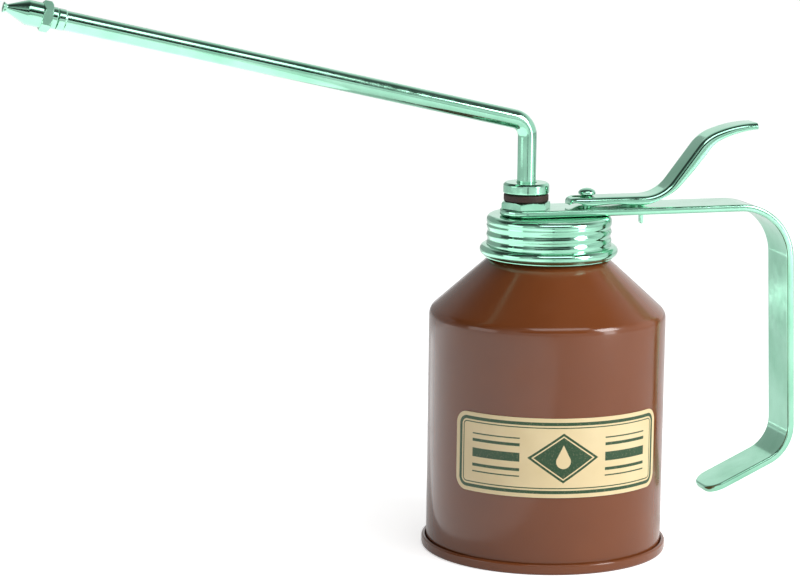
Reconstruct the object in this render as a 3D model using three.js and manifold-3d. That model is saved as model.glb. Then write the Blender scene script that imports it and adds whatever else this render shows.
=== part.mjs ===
// Pump oil can: a painted steel can with a screwed pump head, a strap handle, a thumb lever
// and a long bent spout. Millimetres, +Z up. The origin is the centre of the base on the
// floor, the handle points to +X and the spout to -X.

import * as THREE from 'three';
import { mergeVertices } from 'three/addons/utils/BufferGeometryUtils.js';
import Module from 'manifold-3d';

const wasm = await Module();
wasm.setup();

const TURN = 2 * Math.PI;
const DEGREE = Math.PI / 180;

// Fits between pieces
const SLIP = 0.3; // radial clearance of fitted and moving pieces
const SEAT = 0.1; // film between stacked flat faces
const THREAD_GAP = 0.35; // radial gap between the neck thread and the cap thread

// Can
const CAN_RADIUS = 40;
const CAN_WALL = 0.7;
const SHOULDER_HEIGHT = 81.8; // where the straight wall and the shoulder cone would meet
const SHOULDER_SLOPE = 1.108; // radius lost for each millimetre of height on the cone
const SHOULDER_FILLET = 4;
const SEAM_HEIGHT = 3.6;
const SEAM_WALL = 1.3;
const SEAM_FLOOR = 0.6;
const SEAM_ROUND = 0.4;
const PANEL_THICKNESS = 0.6;
const PANEL_RECESS = 1.2; // underside of the base panel above the floor
const PANEL_STEP = 1;
const PANEL_STEP_RADIUS = 30;

// Label
const LABEL_FILM = 0.15; // glue line under the label
const LABEL_THICKNESS = 0.25;
const LABEL_WIDTH = 77.5; // along the can
const LABEL_HEIGHT = 26.7;
const LABEL_MIDDLE = 39.45; // height of its middle
const LABEL_CORNER = 4.5;
const LABEL_AZIMUTH = -100.65 * DEGREE;

// Threaded neck
const NECK_BORE = 18.4;
const NECK_WALL = 0.95;
const NECK_HEIGHT = 11.9; // above the edge of the shoulder
const NECK_FLARE = 5; // reach of its flared foot under the shoulder
const THREAD_PITCH = 3;
const THREAD_DEPTH = 0.8;
const THREAD_FADE = 1.2;
const THREAD_RIM = 1.3; // plain rim above the thread

// Screw cap and its gasket
const GASKET_THICKNESS = 1.4;
const CAP_SHEET = 0.6;
const CAP_EDGE_RADIUS = 1.6;
const CAP_LIP_GAP = 1.5; // between the lip and the shoulder
const CAP_LIP_HEIGHT = 0.6;
const CAP_LIP_FLARE = 0.7;
const BEAD_RADIUS = 1.8;
const BEAD_OVERHANG = 2.2;
const BEAD_SWEEP = 65 * DEGREE;

// Strap handle, measured along its outer face
const STRAP_WIDTH = 17.5;
const STRAP_THICKNESS = 2.4;
const STRAP_TOP_RUN = 74.8; // stud to the top bend
const STRAP_TOP_BEND = 20;
const STRAP_LEAN = 2.2 * DEGREE;
const STRAP_GRIP_RUN = 58.4;
const STRAP_LOW_BEND = 14.4;
const STRAP_TAIL_SLOPE = 24.7 * DEGREE;
const STRAP_TAIL_RUN = 24;
const STRAP_TIP_ROUND = 6;

// Spout, with the stud that it turns on
const STUD_X = -8.4;
const STUD_RADIUS = 4.75;
const STUD_BORE = 2;
const NUT_FLATS = 15;
const NUT_HEIGHT = 2.4;
const WASHER_RADIUS = 7.55;
const WASHER_HEIGHT = 2.3;
const COLLAR_RADIUS = 7.75;
const COLLAR_HEIGHT = 3.8;
const COLLAR_ROOF = 1.1;
const COLLAR_CHAMFER = 0.7;
const SPOUT_RADIUS = 3.175;
const SPOUT_BORE = 2.2;
const SPOUT_FOOT_RADIUS = 4.5;
const SPOUT_FOOT_HEIGHT = 1.2;
const SPOUT_CORNER_HEIGHT = 29.2; // meeting point of the two legs above the strap
const SPOUT_ELBOW = 6;
const SPOUT_SLOPE = 12.97 * DEGREE;
const SPOUT_REACH = 162.9; // meeting point to the end of the tube
const SPOUT_END_BEAD = 0.25;
const SPOUT_END_LENGTH = 2.4;

// Nozzle, measured from the end of the tube outwards
const NOZZLE_SHANK = 6;
const NOZZLE_BORE = 0.6;
const NOZZLE_NECK_RADIUS = 3.5;
const NOZZLE_NECK_LENGTH = 1.9;
const NOZZLE_HEX_FLATS = 8.7;
const NOZZLE_HEX_LENGTH = 3.1;
const NOZZLE_BODY_RADIUS = 4;
const NOZZLE_BODY_LENGTH = 4.6;
const NOZZLE_CONE_LENGTH = 6.6;
const NOZZLE_THROAT_RADIUS = 1.15;
const NOZZLE_TIP_RADIUS = 1.7;
const NOZZLE_TIP_LENGTH = 1.2;

// Thumb lever, measured along the top of its web
const LEVER_WIDTH = 10.5;
const LEVER_SHEET = 1.4;
const LEVER_RISE = 3.4; // web above the strap
const LEVER_NOSE_X = 6.4;
const LEVER_NOSE_DROP = 1.4;
const LEVER_NOSE_RUN = 2.5;
const LEVER_HEEL_X = 32.7; // end of the flat web
const LEVER_HEEL_RADIUS = 13;
const LEVER_CLIMB = 52.2 * DEGREE;
const LEVER_STRAIGHT = 14.6;
const LEVER_CREST_RADIUS = 14.5;
const LEVER_THUMB_SLOPE = 20.5 * DEGREE; // where the crest goes over into the thumb rest
const LEVER_THUMB_RADIUS = 42;
const LEVER_FLANGE_ROCK = 2.2; // low enough to clear the strap at full stroke
const LEVER_ROCK_LEAD = 1;
const LEVER_ROCK_SHARE = 0.42; // share of the heel bend
const LEVER_FLANGE_HEEL = 3;
const LEVER_FLANGE_MIDDLE = 3.8;
const LEVER_FLANGE_TIP = 2.1;
const LEVER_SLOT_WIDTH = 3.8;
const LEVER_SLOT_BACK = 2; // slot behind the rod axis
const LEVER_SLOT_FRONT = 5.3; // slot ahead of it, for the swing
const TANG_X = 33; // line that the lever rocks on
const TANG_WIDTH = 1.8;
const TANG_BREADTH = 2; // across the lever
const TANG_DEPTH = 4.4; // below the strap
const TANG_SWING = 1.5; // room in the strap slot for the swing

// Pump rod, piston and spring
const ROD_X = 13.3;
const ROD_RADIUS = 1.6;
const ROD_HEAD_RADIUS = 2.95;
const ROD_HEAD_HEIGHT = 2.6;
const ROD_HEAD_TAPER = 25 * DEGREE;
const ROD_HEAD_GAP = 0.2;
const ROD_END = 0.5; // short of the face of the piston nut
const PISTON_REST = 2.5; // piston above the foot valve
const PISTON_NUT_FLATS = 5.2;
const PISTON_NUT_HEIGHT = 2.9;
const CUP_FLOOR = 0.9;
const CUP_LIP = 2.4;
const CUP_WALL = 0.8;
const CUP_GAP = 0.2;
const PISTON_FLANGE = 2.4;
const SPRING_MEAN_RADIUS = 3;
const SPRING_WIRE = 0.8;
const SPRING_TURNS = 10;

// Pump block and barrel
const BARREL_BORE = 3.9;
const BARREL_WALL = 0.6;
const BARREL_LENGTH = 51;
const BLOCK_HEIGHT = 8.7;
const BLOCK_WALL = 1.55;
const BLOCK_SPIGOT = 3;
const CHAMBER_RADIUS = 2.6;
const CHAMBER_HEIGHT = 4.1; // above the underside of the block
const PASSAGE_RADIUS = 1.1;
const PASSAGE_HEIGHT = 2.3;
const PLUG_RADIUS = 1.4;
const PLUG_LENGTH = 1.6;
const GLAND_RADIUS = 2.7;
const PACKING_HEIGHT = 1.6;
const BUSH_HEIGHT = 2.3;

// Valves
const SEAT_HEIGHT = 1.1;
const OUTLET_HOLE = 1;
const OUTLET_BALL = 1.6;
const INLET_HOLE = 1.2;
const INLET_BALL = 1.75;
const BALL_FILM = 0.15;
const BALL_LIFT = 1.2;
const OUTLET_PIN = 0.6;
const INLET_PIN = 0.5;
const PIN_GAP = 0.25;
const VALVE_CHAMBER = 2.3;
const VALVE_SPIGOT = 6;
const VALVE_FLANGE = 4;
const VALVE_FLOOR = 1.4; // chamber floor below the top of the flange
const VALVE_SOCKET = 4;
const VALVE_SOCKET_RADIUS = 4;

// Suction tube and strainer
const SUCTION_RADIUS = 2.4;
const SUCTION_BORE = 1.7;
const STRAINER_RADIUS = 3.6;
const STRAINER_HEIGHT = 6;
const STRAINER_FLOOR = 1;
const STRAINER_CHAMBER = 1.8;
const STRAINER_HOLE = 0.6;
const STRAINER_CLEAR = 2.7; // above the base panel

// Facets
const CAN_COLUMNS = 48;
const THREAD_COLUMNS = 32;
const THREAD_ROWS = 6; // rows for one pitch
const ROUND_COLUMNS = 24;
const SMALL_COLUMNS = 16;
const ARC_STEPS = 4;

// Finishes: colour, roughness and metalness
const PAINT = ['#743e1e', 0.28, 0];
const PLATED = ['#a7d3bb', 0.22, 0.9];
const PAPER = ['#e8d4a8', 0.6, 0];
const LEATHER = ['#3a2417', 0.8, 0];
const CORK = ['#9a7048', 0.9, 0];
const BRASS = ['#b5964f', 0.35, 1];
const STEEL = ['#9aa0a0', 0.35, 1];

// Heights and radii that follow from the sizes above
const shoulderLean = Math.hypot(1, SHOULDER_SLOPE);
const shoulderZ = (radius, inset = 0) =>
  SHOULDER_HEIGHT + (CAN_RADIUS - inset * shoulderLean - radius) / SHOULDER_SLOPE;
const shellInner = CAN_RADIUS - CAN_WALL;
const panelTop = PANEL_RECESS + PANEL_THICKNESS;

const neckMinor = NECK_BORE + NECK_WALL;
const mouthRadius = neckMinor + SLIP;
const mouthZ = shoulderZ(mouthRadius);
const neckTop = mouthZ + NECK_HEIGHT;

const capBore = neckMinor + THREAD_DEPTH + THREAD_GAP;
const capCrest = capBore + CAP_SHEET;
const gasketZ = neckTop + SEAT;
const capUnder = gasketZ + GASKET_THICKNESS + SEAT;
const capTop = capUnder + CAP_SHEET;
const capLip = shoulderZ(capBore + CAP_LIP_FLARE) + CAP_LIP_GAP;
const beadZ = capLip + CAP_LIP_HEIGHT + BEAD_RADIUS * Math.sin(BEAD_SWEEP);

const strapUnder = capTop + SEAT;
const strapTop = strapUnder + STRAP_THICKNESS;
const nutZ = strapTop + SEAT;
const washerZ = nutZ + NUT_HEIGHT + SEAT;
const collarZ = washerZ + WASHER_HEIGHT + SEAT;
const collarTop = collarZ + COLLAR_HEIGHT;
const spoutFootTop = collarTop - COLLAR_ROOF - SEAT;
const spoutFoot = spoutFootTop - SPOUT_FOOT_HEIGHT;
const studTop = spoutFoot - SEAT;
const studHole = STUD_RADIUS + SLIP;

const webTop = strapTop + LEVER_RISE;
const leverUnder = strapTop + SLIP;

const blockTop = capUnder - SEAT;
const blockUnder = blockTop - BLOCK_HEIGHT;
const blockSpigot = blockUnder - BLOCK_SPIGOT;
const spigotRadius = BARREL_BORE - SLIP;
const passageZ = blockUnder + PASSAGE_HEIGHT;
const plugHole = PLUG_RADIUS + SLIP;
const seatLedge = passageZ + plugHole + SLIP;
const seatZ = seatLedge + SEAT;
const studFoot = seatZ + SEAT_HEIGHT + SEAT;
const outletBallZ = seatZ + SEAT_HEIGHT + Math.sqrt(OUTLET_BALL ** 2 - OUTLET_HOLE ** 2) + BALL_FILM;
const outletPinZ = outletBallZ + OUTLET_BALL + BALL_LIFT + PIN_GAP + OUTLET_PIN;

const rodHole = ROD_RADIUS + SLIP;
const glandHole = GLAND_RADIUS + SLIP;
const bushTop = strapUnder - SEAT;
const bushZ = bushTop - BUSH_HEIGHT;
const packingZ = bushZ - SEAT - PACKING_HEIGHT;
const glandFloor = packingZ - SEAT;

const barrelRadius = BARREL_BORE + BARREL_WALL;
const barrelTop = blockUnder - SEAT;
const barrelFoot = barrelTop - BARREL_LENGTH;
const valveFlangeTop = barrelFoot - SEAT;
const valveFlangeZ = valveFlangeTop - VALVE_FLANGE;
const valveTop = barrelFoot + VALVE_SPIGOT;
const valveFloor = valveFlangeTop - VALVE_FLOOR;
const valveSocketZ = valveFlangeZ - VALVE_SOCKET;
const inletBallZ = valveFloor + Math.sqrt(INLET_BALL ** 2 - INLET_HOLE ** 2) + BALL_FILM;
const inletPinZ = inletBallZ + INLET_BALL + BALL_LIFT + PIN_GAP + INLET_PIN;

const pistonNutZ = valveTop + PISTON_REST;
const cupZ = pistonNutZ + PISTON_NUT_HEIGHT + SEAT;
const cupRadius = BARREL_BORE - CUP_GAP;
const cupTop = cupZ + CUP_FLOOR + CUP_LIP;
const pistonTop = cupTop + SEAT + PISTON_FLANGE;

const strainerZ = panelTop + STRAINER_CLEAR;
const suctionFoot = strainerZ + STRAINER_FLOOR + STRAINER_CHAMBER;
const suctionTop = valveFlangeZ - SEAT;

/** Ring of points at a height. The radius may be a function of the angle; zero gives a pole. */
function ring(radius, z, columns) {
  if (radius === 0) {
    return [new THREE.Vector3(0, 0, z)];
  }
  return Array.from({ length: columns }, (_, i) => {
    const angle = (i / columns) * TURN;
    const reach = typeof radius === 'function' ? radius(angle) : radius;
    return new THREE.Vector3(reach * Math.cos(angle), reach * Math.sin(angle), z);
  });
}

/** Volume inside a triangle list, negative where its faces point inwards. */
function signedVolume(points, index) {
  let sum = 0;
  for (let i = 0; i < index.length; i += 3) {
    const [a, b, c] = [points[index[i]], points[index[i + 1]], points[index[i + 2]]];
    sum += a.dot(b.clone().cross(c));
  }
  return sum / 6;
}

/** Closed surface through rings of points: poles or outlines close its ends, or it loops. */
function skin(rings, { loop = false, outline = null } = {}) {
  const points = rings.flat();
  const starts = [];
  rings.reduce((start, row) => {
    starts.push(start);
    return start + row.length;
  }, 0);
  const index = [];
  const joins = loop ? rings.length : rings.length - 1;
  for (let row = 0; row < joins; row += 1) {
    const next = (row + 1) % rings.length;
    const [a, b] = [rings[row].length, rings[next].length];
    const count = Math.max(a, b);
    for (let i = 0; i < count; i += 1) {
      const j = (i + 1) % count;
      if (b > 1) {
        index.push(starts[row] + (i % a), starts[next] + i, starts[next] + j);
      }
      if (a > 1) {
        index.push(starts[row] + i, starts[next] + (j % b), starts[row] + j);
      }
    }
  }
  if (outline) {
    const flat = outline.map(([u, v]) => new THREE.Vector2(u, v));
    const last = starts[rings.length - 1];
    const area = THREE.ShapeUtils.area(flat);
    for (const face of THREE.ShapeUtils.triangulateShape(flat, [])) {
      const [a, b, c] = face;
      const along = THREE.ShapeUtils.area(face.map((corner) => flat[corner])) * area > 0;
      const [second, third] = along ? [b, c] : [c, b];
      index.push(a, second, third, last + a, last + third, last + second);
    }
  }
  if (signedVolume(points, index) < 0) {
    index.reverse();
  }
  const geometry = new THREE.BufferGeometry().setFromPoints(points);
  geometry.setIndex(index);
  return geometry;
}

/** Turned piece from a profile of [radius, height] rows about a vertical axis. */
function turned(profile, columns, { x = 0, y = 0, loop = false } = {}) {
  const geometry = skin(profile.map(([radius, z]) => ring(radius, z, columns)), { loop });
  return geometry.translate(x, y, 0);
}

/** Upright plug with flat ends. */
function plug(radius, bottom, top, columns, x = 0, y = 0) {
  return turned([[0, bottom], [radius, bottom], [radius, top], [0, top]], columns, { x, y });
}

/** Upright tube with flat ends. */
function sleeve(bore, radius, bottom, top, columns, x = 0) {
  const profile = [[bore, bottom], [radius, bottom], [radius, top], [bore, top]];
  return turned(profile, columns, { x, loop: true });
}

/** Six-sided prism across the given flats. */
function hexagon(flats, bottom, top, x = 0) {
  return plug(flats / 2 / Math.cos(TURN / 12), bottom, top, 6, x);
}

/** Round bar between two points. */
function bar(radius, from, to, columns) {
  const along = to.clone().sub(from);
  const geometry = plug(radius, 0, along.length(), columns);
  const turn = new THREE.Quaternion().setFromUnitVectors(new THREE.Vector3(0, 0, 1), along.normalize());
  return geometry.applyQuaternion(turn).translate(from.x, from.y, from.z);
}

/** Box from its lowest to its highest corner. */
function block(low, high) {
  const size = high.map((value, i) => value - low[i]);
  return new THREE.BoxGeometry(...size).translate(...low.map((value, i) => value + size[i] / 2));
}

/** Ball with its poles up and down. */
function ball(radius, x, z) {
  const rows = SMALL_COLUMNS / 2;
  const profile = Array.from({ length: rows + 1 }, (_, i) => {
    const angle = (i / rows) * Math.PI;
    const edge = i === 0 || i === rows;
    return [edge ? 0 : radius * Math.sin(angle), z - radius * Math.cos(angle)];
  });
  return turned(profile, SMALL_COLUMNS, { x });
}

/** Solid of a closed geometry. */
function solidOf(geometry) {
  const bare = geometry.clone();
  bare.deleteAttribute('normal');
  bare.deleteAttribute('uv');
  const merged = mergeVertices(bare);
  return new wasm.Manifold(new wasm.Mesh({
    numProp: 3,
    vertProperties: new Float32Array(merged.attributes.position.array),
    triVerts: new Uint32Array(merged.index.array),
  }));
}

/** Geometry of a solid. */
function geometryOf(solid) {
  const mesh = solid.getMesh();
  const geometry = new THREE.BufferGeometry();
  geometry.setAttribute('position', new THREE.BufferAttribute(mesh.vertProperties.slice(), 3));
  geometry.setIndex(new THREE.BufferAttribute(mesh.triVerts.slice(), 1));
  return geometry;
}

/** Geometry with tools cut out of it. */
function cut(geometry, ...tools) {
  return geometryOf(tools.reduce((solid, tool) => solid.subtract(solidOf(tool)), solidOf(geometry)));
}

/** Geometry joined with others that it overlaps. */
function joined(geometry, ...others) {
  return geometryOf(others.reduce((solid, other) => solid.add(solidOf(other)), solidOf(geometry)));
}

/** Points of an arc about a centre in a [radius, height] plane. */
function arc(centre, radius, from, to, steps = ARC_STEPS) {
  return Array.from({ length: steps + 1 }, (_, i) => {
    const angle = from + ((to - from) * i) / steps;
    return [centre[0] + radius * Math.cos(angle), centre[1] + radius * Math.sin(angle)];
  });
}

/** Stations of a path in the XZ plane: runs go straight, turns bend to the left when positive. */
function walk(x, z, heading, moves) {
  const stations = [{ x, z, heading, s: 0 }];
  for (const { run = 0, turn = 0, radius = 0, steps = 1 } of moves) {
    for (let i = 0; i < steps; i += 1) {
      const at = stations[stations.length - 1];
      const next = { heading: at.heading + turn / steps };
      if (turn === 0) {
        next.x = at.x + (run / steps) * Math.cos(at.heading);
        next.z = at.z + (run / steps) * Math.sin(at.heading);
        next.s = at.s + run / steps;
      } else {
        const bend = radius * Math.sign(turn);
        next.x = at.x + bend * (Math.sin(next.heading) - Math.sin(at.heading));
        next.z = at.z - bend * (Math.cos(next.heading) - Math.cos(at.heading));
        next.s = at.s + radius * Math.abs(turn / steps);
      }
      stations.push(next);
    }
  }
  return stations;
}

/** Straight runs that follow a quarter circle, so that a rounded end gets even facets. */
function roundRuns(radius, from, to, steps) {
  return Array.from({ length: steps }, (_, i) => {
    const [a, b] = [i, i + 1].map((step) => from + ((to - from) * step) / steps);
    return { run: Math.abs(radius * (Math.cos(a) - Math.cos(b))) };
  });
}

/** Piece swept along stations; each section is [across, above] points about its station. */
function swept(stations, sectionAt) {
  const sections = stations.map(sectionAt);
  const rings = stations.map(({ x, z, heading }, i) => sections[i].map(([across, above]) =>
    new THREE.Vector3(x - above * Math.sin(heading), across, z + above * Math.cos(heading))));
  return skin(rings, { outline: sections[0] });
}

/** Rows of a thread: the wave fades out at both ends of its zone. */
function threadRows(bottom, top, radiusAt) {
  const rows = Math.ceil(((top - bottom) / THREAD_PITCH) * THREAD_ROWS);
  return Array.from({ length: rows + 1 }, (_, i) => {
    const z = bottom + ((top - bottom) * i) / rows;
    const fade = Math.min(1, Math.min(z - bottom, top - z) / THREAD_FADE);
    const radius = (angle) => {
      const wave = 0.5 + 0.5 * Math.cos((TURN * (z - mouthZ)) / THREAD_PITCH - angle);
      return radiusAt(wave, fade);
    };
    return [radius, z];
  });
}

const oilCan = new THREE.Group();

/** Adds a piece to the can under its name. */
function piece(name, geometry, [color, roughness, metalness]) {
  const mesh = new THREE.Mesh(geometry, new THREE.MeshStandardMaterial({ color, roughness, metalness }));
  mesh.name = name;
  oilCan.add(mesh);
  return mesh;
}

/** One drawn body: straight wall, rounded shoulder and cone up to the mouth. */
function canShell() {
  const coneAngle = Math.atan2(1, SHOULDER_SLOPE);
  const wall = (inset) => {
    const radius = SHOULDER_FILLET - inset;
    const turn = TURN / 4 - coneAngle;
    const corner = [CAN_RADIUS - inset, shoulderZ(CAN_RADIUS - inset, inset)];
    const centre = [corner[0] - radius, corner[1] - radius * Math.tan(turn / 2)];
    return [...arc(centre, radius, 0, turn), [mouthRadius, shoulderZ(mouthRadius, inset)]];
  };
  const bottom = SEAM_FLOOR + SLIP;
  return turned(
    [[CAN_RADIUS, bottom], ...wall(0), ...wall(CAN_WALL).reverse(), [shellInner, bottom]],
    CAN_COLUMNS,
    { loop: true },
  );
}

/** Base panel with the rolled seam that grips the lower edge of the shell. */
function basePanel() {
  const innerWall = shellInner - SLIP;
  const footInner = innerWall - PANEL_THICKNESS;
  const gripWall = CAN_RADIUS + SLIP;
  const outer = gripWall + SEAM_WALL;
  const stepEnd = PANEL_STEP_RADIUS + PANEL_STEP;
  return turned([
    [0, PANEL_RECESS],
    [PANEL_STEP_RADIUS, PANEL_RECESS],
    [stepEnd, PANEL_RECESS + PANEL_STEP],
    [footInner, PANEL_RECESS + PANEL_STEP],
    [footInner, 0],
    [outer - SEAM_ROUND, 0],
    [outer, SEAM_ROUND],
    [outer, SEAM_HEIGHT - SEAM_ROUND],
    [outer - SEAM_ROUND, SEAM_HEIGHT],
    [gripWall, SEAM_HEIGHT],
    [gripWall, SEAM_FLOOR],
    [innerWall, SEAM_FLOOR],
    [innerWall, panelTop + PANEL_STEP],
    [stepEnd, panelTop + PANEL_STEP],
    [PANEL_STEP_RADIUS, panelTop],
    [0, panelTop],
  ], CAN_COLUMNS);
}

/** Label wrapped round the front of the can, with round corners. */
function label() {
  const inner = CAN_RADIUS + LABEL_FILM;
  const outer = inner + LABEL_THICKNESS;
  const half = LABEL_WIDTH / 2;
  const cornerStops = [0.03, 0.13, 0.3, 0.5, 0.75, 1].map((share) => share * LABEL_CORNER - half);
  const flats = 9;
  const middle = Array.from({ length: flats }, (_, i) =>
    (half - LABEL_CORNER) * ((2 * (i + 1)) / (flats + 1) - 1));
  const stops = [...cornerStops, ...middle, ...cornerStops.map((stop) => -stop).reverse()];
  const rings = stops.map((stop) => {
    const angle = LABEL_AZIMUTH + stop / CAN_RADIUS;
    const inset = Math.max(0, LABEL_CORNER - (half - Math.abs(stop)));
    const rise = LABEL_HEIGHT / 2 - LABEL_CORNER + Math.sqrt(LABEL_CORNER ** 2 - inset ** 2);
    return [[inner, -rise], [outer, -rise], [outer, rise], [inner, rise]].map(([radius, height]) =>
      new THREE.Vector3(radius * Math.cos(angle), radius * Math.sin(angle), LABEL_MIDDLE + height));
  });
  return skin(rings, { outline: [[0, 0], [1, 0], [1, 1], [0, 1]] });
}

/** Threaded neck, soldered in the mouth with its flared foot under the shoulder. */
function neckRing() {
  const under = CAN_WALL + SLIP;
  const foot = neckMinor + NECK_FLARE;
  const footZ = shoulderZ(foot, under);
  const threadFoot = mouthZ + SLIP;
  return turned([
    [foot, footZ],
    [neckMinor, shoulderZ(neckMinor, under)],
    ...threadRows(threadFoot, neckTop - THREAD_RIM, (wave, fade) =>
      neckMinor + THREAD_DEPTH * fade * wave),
    [neckMinor, neckTop],
    [NECK_BORE, neckTop],
    [NECK_BORE, shoulderZ(NECK_BORE, under + NECK_WALL)],
    [foot - NECK_WALL / shoulderLean, footZ - (NECK_WALL * SHOULDER_SLOPE) / shoulderLean],
  ], THREAD_COLUMNS, { loop: true });
}

/** Pressed screw cap with a rolled thread, a bead and a lip, pierced for the stud and the rod. */
function screwCap() {
  const thread = (sheet, bottom, top) => threadRows(bottom, top, (wave, fade) =>
    capBore + sheet - THREAD_DEPTH * fade * (1 - wave));
  const threadFoot = beadZ + BEAD_RADIUS;
  const threadHead = capUnder - CAP_EDGE_RADIUS;
  const beadCentre = [capCrest + BEAD_OVERHANG - BEAD_RADIUS, beadZ];
  const bead = (radius) => arc(beadCentre, radius, -BEAD_SWEEP, BEAD_SWEEP);
  const lipInner = capBore + CAP_LIP_FLARE;
  const edge = (sheet) => arc(
    [capBore + CAP_SHEET - CAP_EDGE_RADIUS, capTop - CAP_EDGE_RADIUS],
    CAP_EDGE_RADIUS - CAP_SHEET + sheet,
    0,
    TURN / 4,
    3,
  );
  const outside = [
    [lipInner + CAP_SHEET, capLip],
    ...bead(BEAD_RADIUS),
    ...thread(CAP_SHEET, threadFoot, threadHead),
    ...edge(CAP_SHEET),
    [0, capTop],
  ];
  const inside = [
    [lipInner, capLip],
    ...bead(BEAD_RADIUS - CAP_SHEET),
    ...thread(0, threadFoot, threadHead),
    ...edge(0),
    [0, capUnder],
  ];
  return cut(
    turned([...inside.reverse(), ...outside], THREAD_COLUMNS),
    plug(studHole, blockTop, strapUnder, ROUND_COLUMNS, STUD_X),
    plug(glandHole, blockTop, strapUnder, SMALL_COLUMNS, ROD_X),
  );
}

/** Bent strap: round end on the stud, grip, and a tail turned back under the fingers. */
function handleStrap() {
  const half = STRAP_WIDTH / 2;
  const firstStep = 15 * DEGREE;
  const trimmed = half * (1 - Math.cos(firstStep));
  const tipFrom = 20 * DEGREE;
  const stations = walk(STUD_X - half + trimmed, strapTop, 0, [
    ...roundRuns(half, firstStep, TURN / 4, 6),
    { run: STRAP_TOP_RUN },
    { turn: STRAP_LEAN - TURN / 4, radius: STRAP_TOP_BEND, steps: 8 },
    { run: STRAP_GRIP_RUN },
    { turn: STRAP_TAIL_SLOPE - STRAP_LEAN - TURN / 4, radius: STRAP_LOW_BEND, steps: 6 },
    { run: STRAP_TAIL_RUN - STRAP_TIP_ROUND },
    ...roundRuns(STRAP_TIP_ROUND, TURN / 4, tipFrom, 5),
  ]);
  const end = stations[stations.length - 1].s + STRAP_TIP_ROUND * (1 - Math.cos(tipFrom));
  const halfAt = (s) => {
    const start = Math.min(half, s + trimmed);
    const tip = Math.min(STRAP_TIP_ROUND, end - s);
    const roundStart = Math.sqrt(half ** 2 - (half - start) ** 2);
    const roundTip = Math.sqrt(STRAP_TIP_ROUND ** 2 - (STRAP_TIP_ROUND - tip) ** 2);
    return Math.min(roundStart, half - STRAP_TIP_ROUND + roundTip);
  };
  const strap = swept(stations, ({ s }) => {
    const reach = halfAt(s);
    return [[-reach, 0], [-reach, -STRAP_THICKNESS], [reach, -STRAP_THICKNESS], [reach, 0]];
  });
  const slot = block(
    [TANG_X - TANG_WIDTH / 2 - TANG_SWING, -TANG_BREADTH / 2 - SLIP, capTop],
    [TANG_X + TANG_WIDTH / 2 + SLIP, TANG_BREADTH / 2 + SLIP, webTop],
  );
  return cut(
    strap,
    plug(studHole, capTop, webTop, ROUND_COLUMNS, STUD_X),
    plug(rodHole, capTop, webTop, SMALL_COLUMNS, ROD_X),
    slot,
  );
}

/** Pressed channel lever: round nose over the rod, rocking heel, tang and rising thumb end. */
function thumbLever() {
  const half = LEVER_WIDTH / 2;
  const noseFrom = 20 * DEGREE;
  const trimmed = half * (1 - Math.cos(noseFrom));
  const flatRun = LEVER_HEEL_X - LEVER_NOSE_X - half;
  const flatEnd = LEVER_HEEL_X - LEVER_NOSE_X - trimmed;
  const heelRun = LEVER_HEEL_RADIUS * LEVER_CLIMB;
  const crestTurn = LEVER_CLIMB - LEVER_THUMB_SLOPE;
  const thumbRun = LEVER_CREST_RADIUS * crestTurn + LEVER_THUMB_RADIUS * LEVER_THUMB_SLOPE;
  const stations = walk(LEVER_NOSE_X + trimmed, webTop, 0, [
    ...roundRuns(half, noseFrom, TURN / 4, 5),
    { run: flatRun, steps: 2 },
    { turn: LEVER_CLIMB, radius: LEVER_HEEL_RADIUS, steps: 6 },
    { run: LEVER_STRAIGHT },
    { turn: -crestTurn, radius: LEVER_CREST_RADIUS, steps: 5 },
    { turn: -LEVER_THUMB_SLOPE, radius: LEVER_THUMB_RADIUS, steps: 5 },
  ]);
  const flangeFlat = webTop - leverUnder;
  const flangeStops = [
    [flatEnd - LEVER_ROCK_LEAD, flangeFlat],
    [flatEnd + heelRun * LEVER_ROCK_SHARE, LEVER_FLANGE_ROCK],
    [flatEnd + heelRun, LEVER_FLANGE_HEEL],
    [flatEnd + heelRun + LEVER_STRAIGHT, LEVER_FLANGE_MIDDLE],
    [flatEnd + heelRun + LEVER_STRAIGHT + thumbRun, LEVER_FLANGE_TIP],
  ];
  const flangeAt = (s) => {
    const next = flangeStops.findIndex(([stop]) => s <= stop);
    if (next === 0) {
      return flangeFlat;
    }
    const [to, toDepth] = flangeStops[next < 0 ? flangeStops.length - 1 : next];
    const [from, fromDepth] = flangeStops[(next < 0 ? flangeStops.length - 1 : next) - 1];
    return fromDepth + ((toDepth - fromDepth) * (Math.min(s, to) - from)) / (to - from);
  };
  const lever = swept(stations, ({ s }) => {
    const nose = Math.min(half, s + trimmed);
    const reach = Math.sqrt(half ** 2 - (half - nose) ** 2);
    const roll = Math.max(0, 1 - (s + trimmed) / LEVER_NOSE_RUN);
    const top = -LEVER_NOSE_DROP * (1 - Math.sqrt(1 - roll ** 2));
    const inner = reach - Math.min(LEVER_SHEET, reach / 2);
    const under = -flangeAt(s);
    const web = Math.max(top - LEVER_SHEET, under + LEVER_SHEET / 4);
    return [
      [-reach, under], [-reach, top], [reach, top], [reach, under],
      [inner, under], [inner, web], [-inner, web], [-inner, under],
    ];
  });
  const tang = block(
    [TANG_X - TANG_WIDTH / 2, -TANG_BREADTH / 2, strapUnder - TANG_DEPTH],
    [TANG_X + TANG_WIDTH / 2, TANG_BREADTH / 2, webTop - LEVER_SHEET / 2],
  );
  const slotEnd = LEVER_SLOT_WIDTH / 2;
  const slot = [
    block(
      [ROD_X - LEVER_SLOT_FRONT + slotEnd, -slotEnd, leverUnder],
      [ROD_X + LEVER_SLOT_BACK, slotEnd, webTop + SLIP],
    ),
    plug(slotEnd, leverUnder, webTop + SLIP, SMALL_COLUMNS, ROD_X - LEVER_SLOT_FRONT + slotEnd),
  ];
  return cut(joined(lever, tang), ...slot);
}

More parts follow.
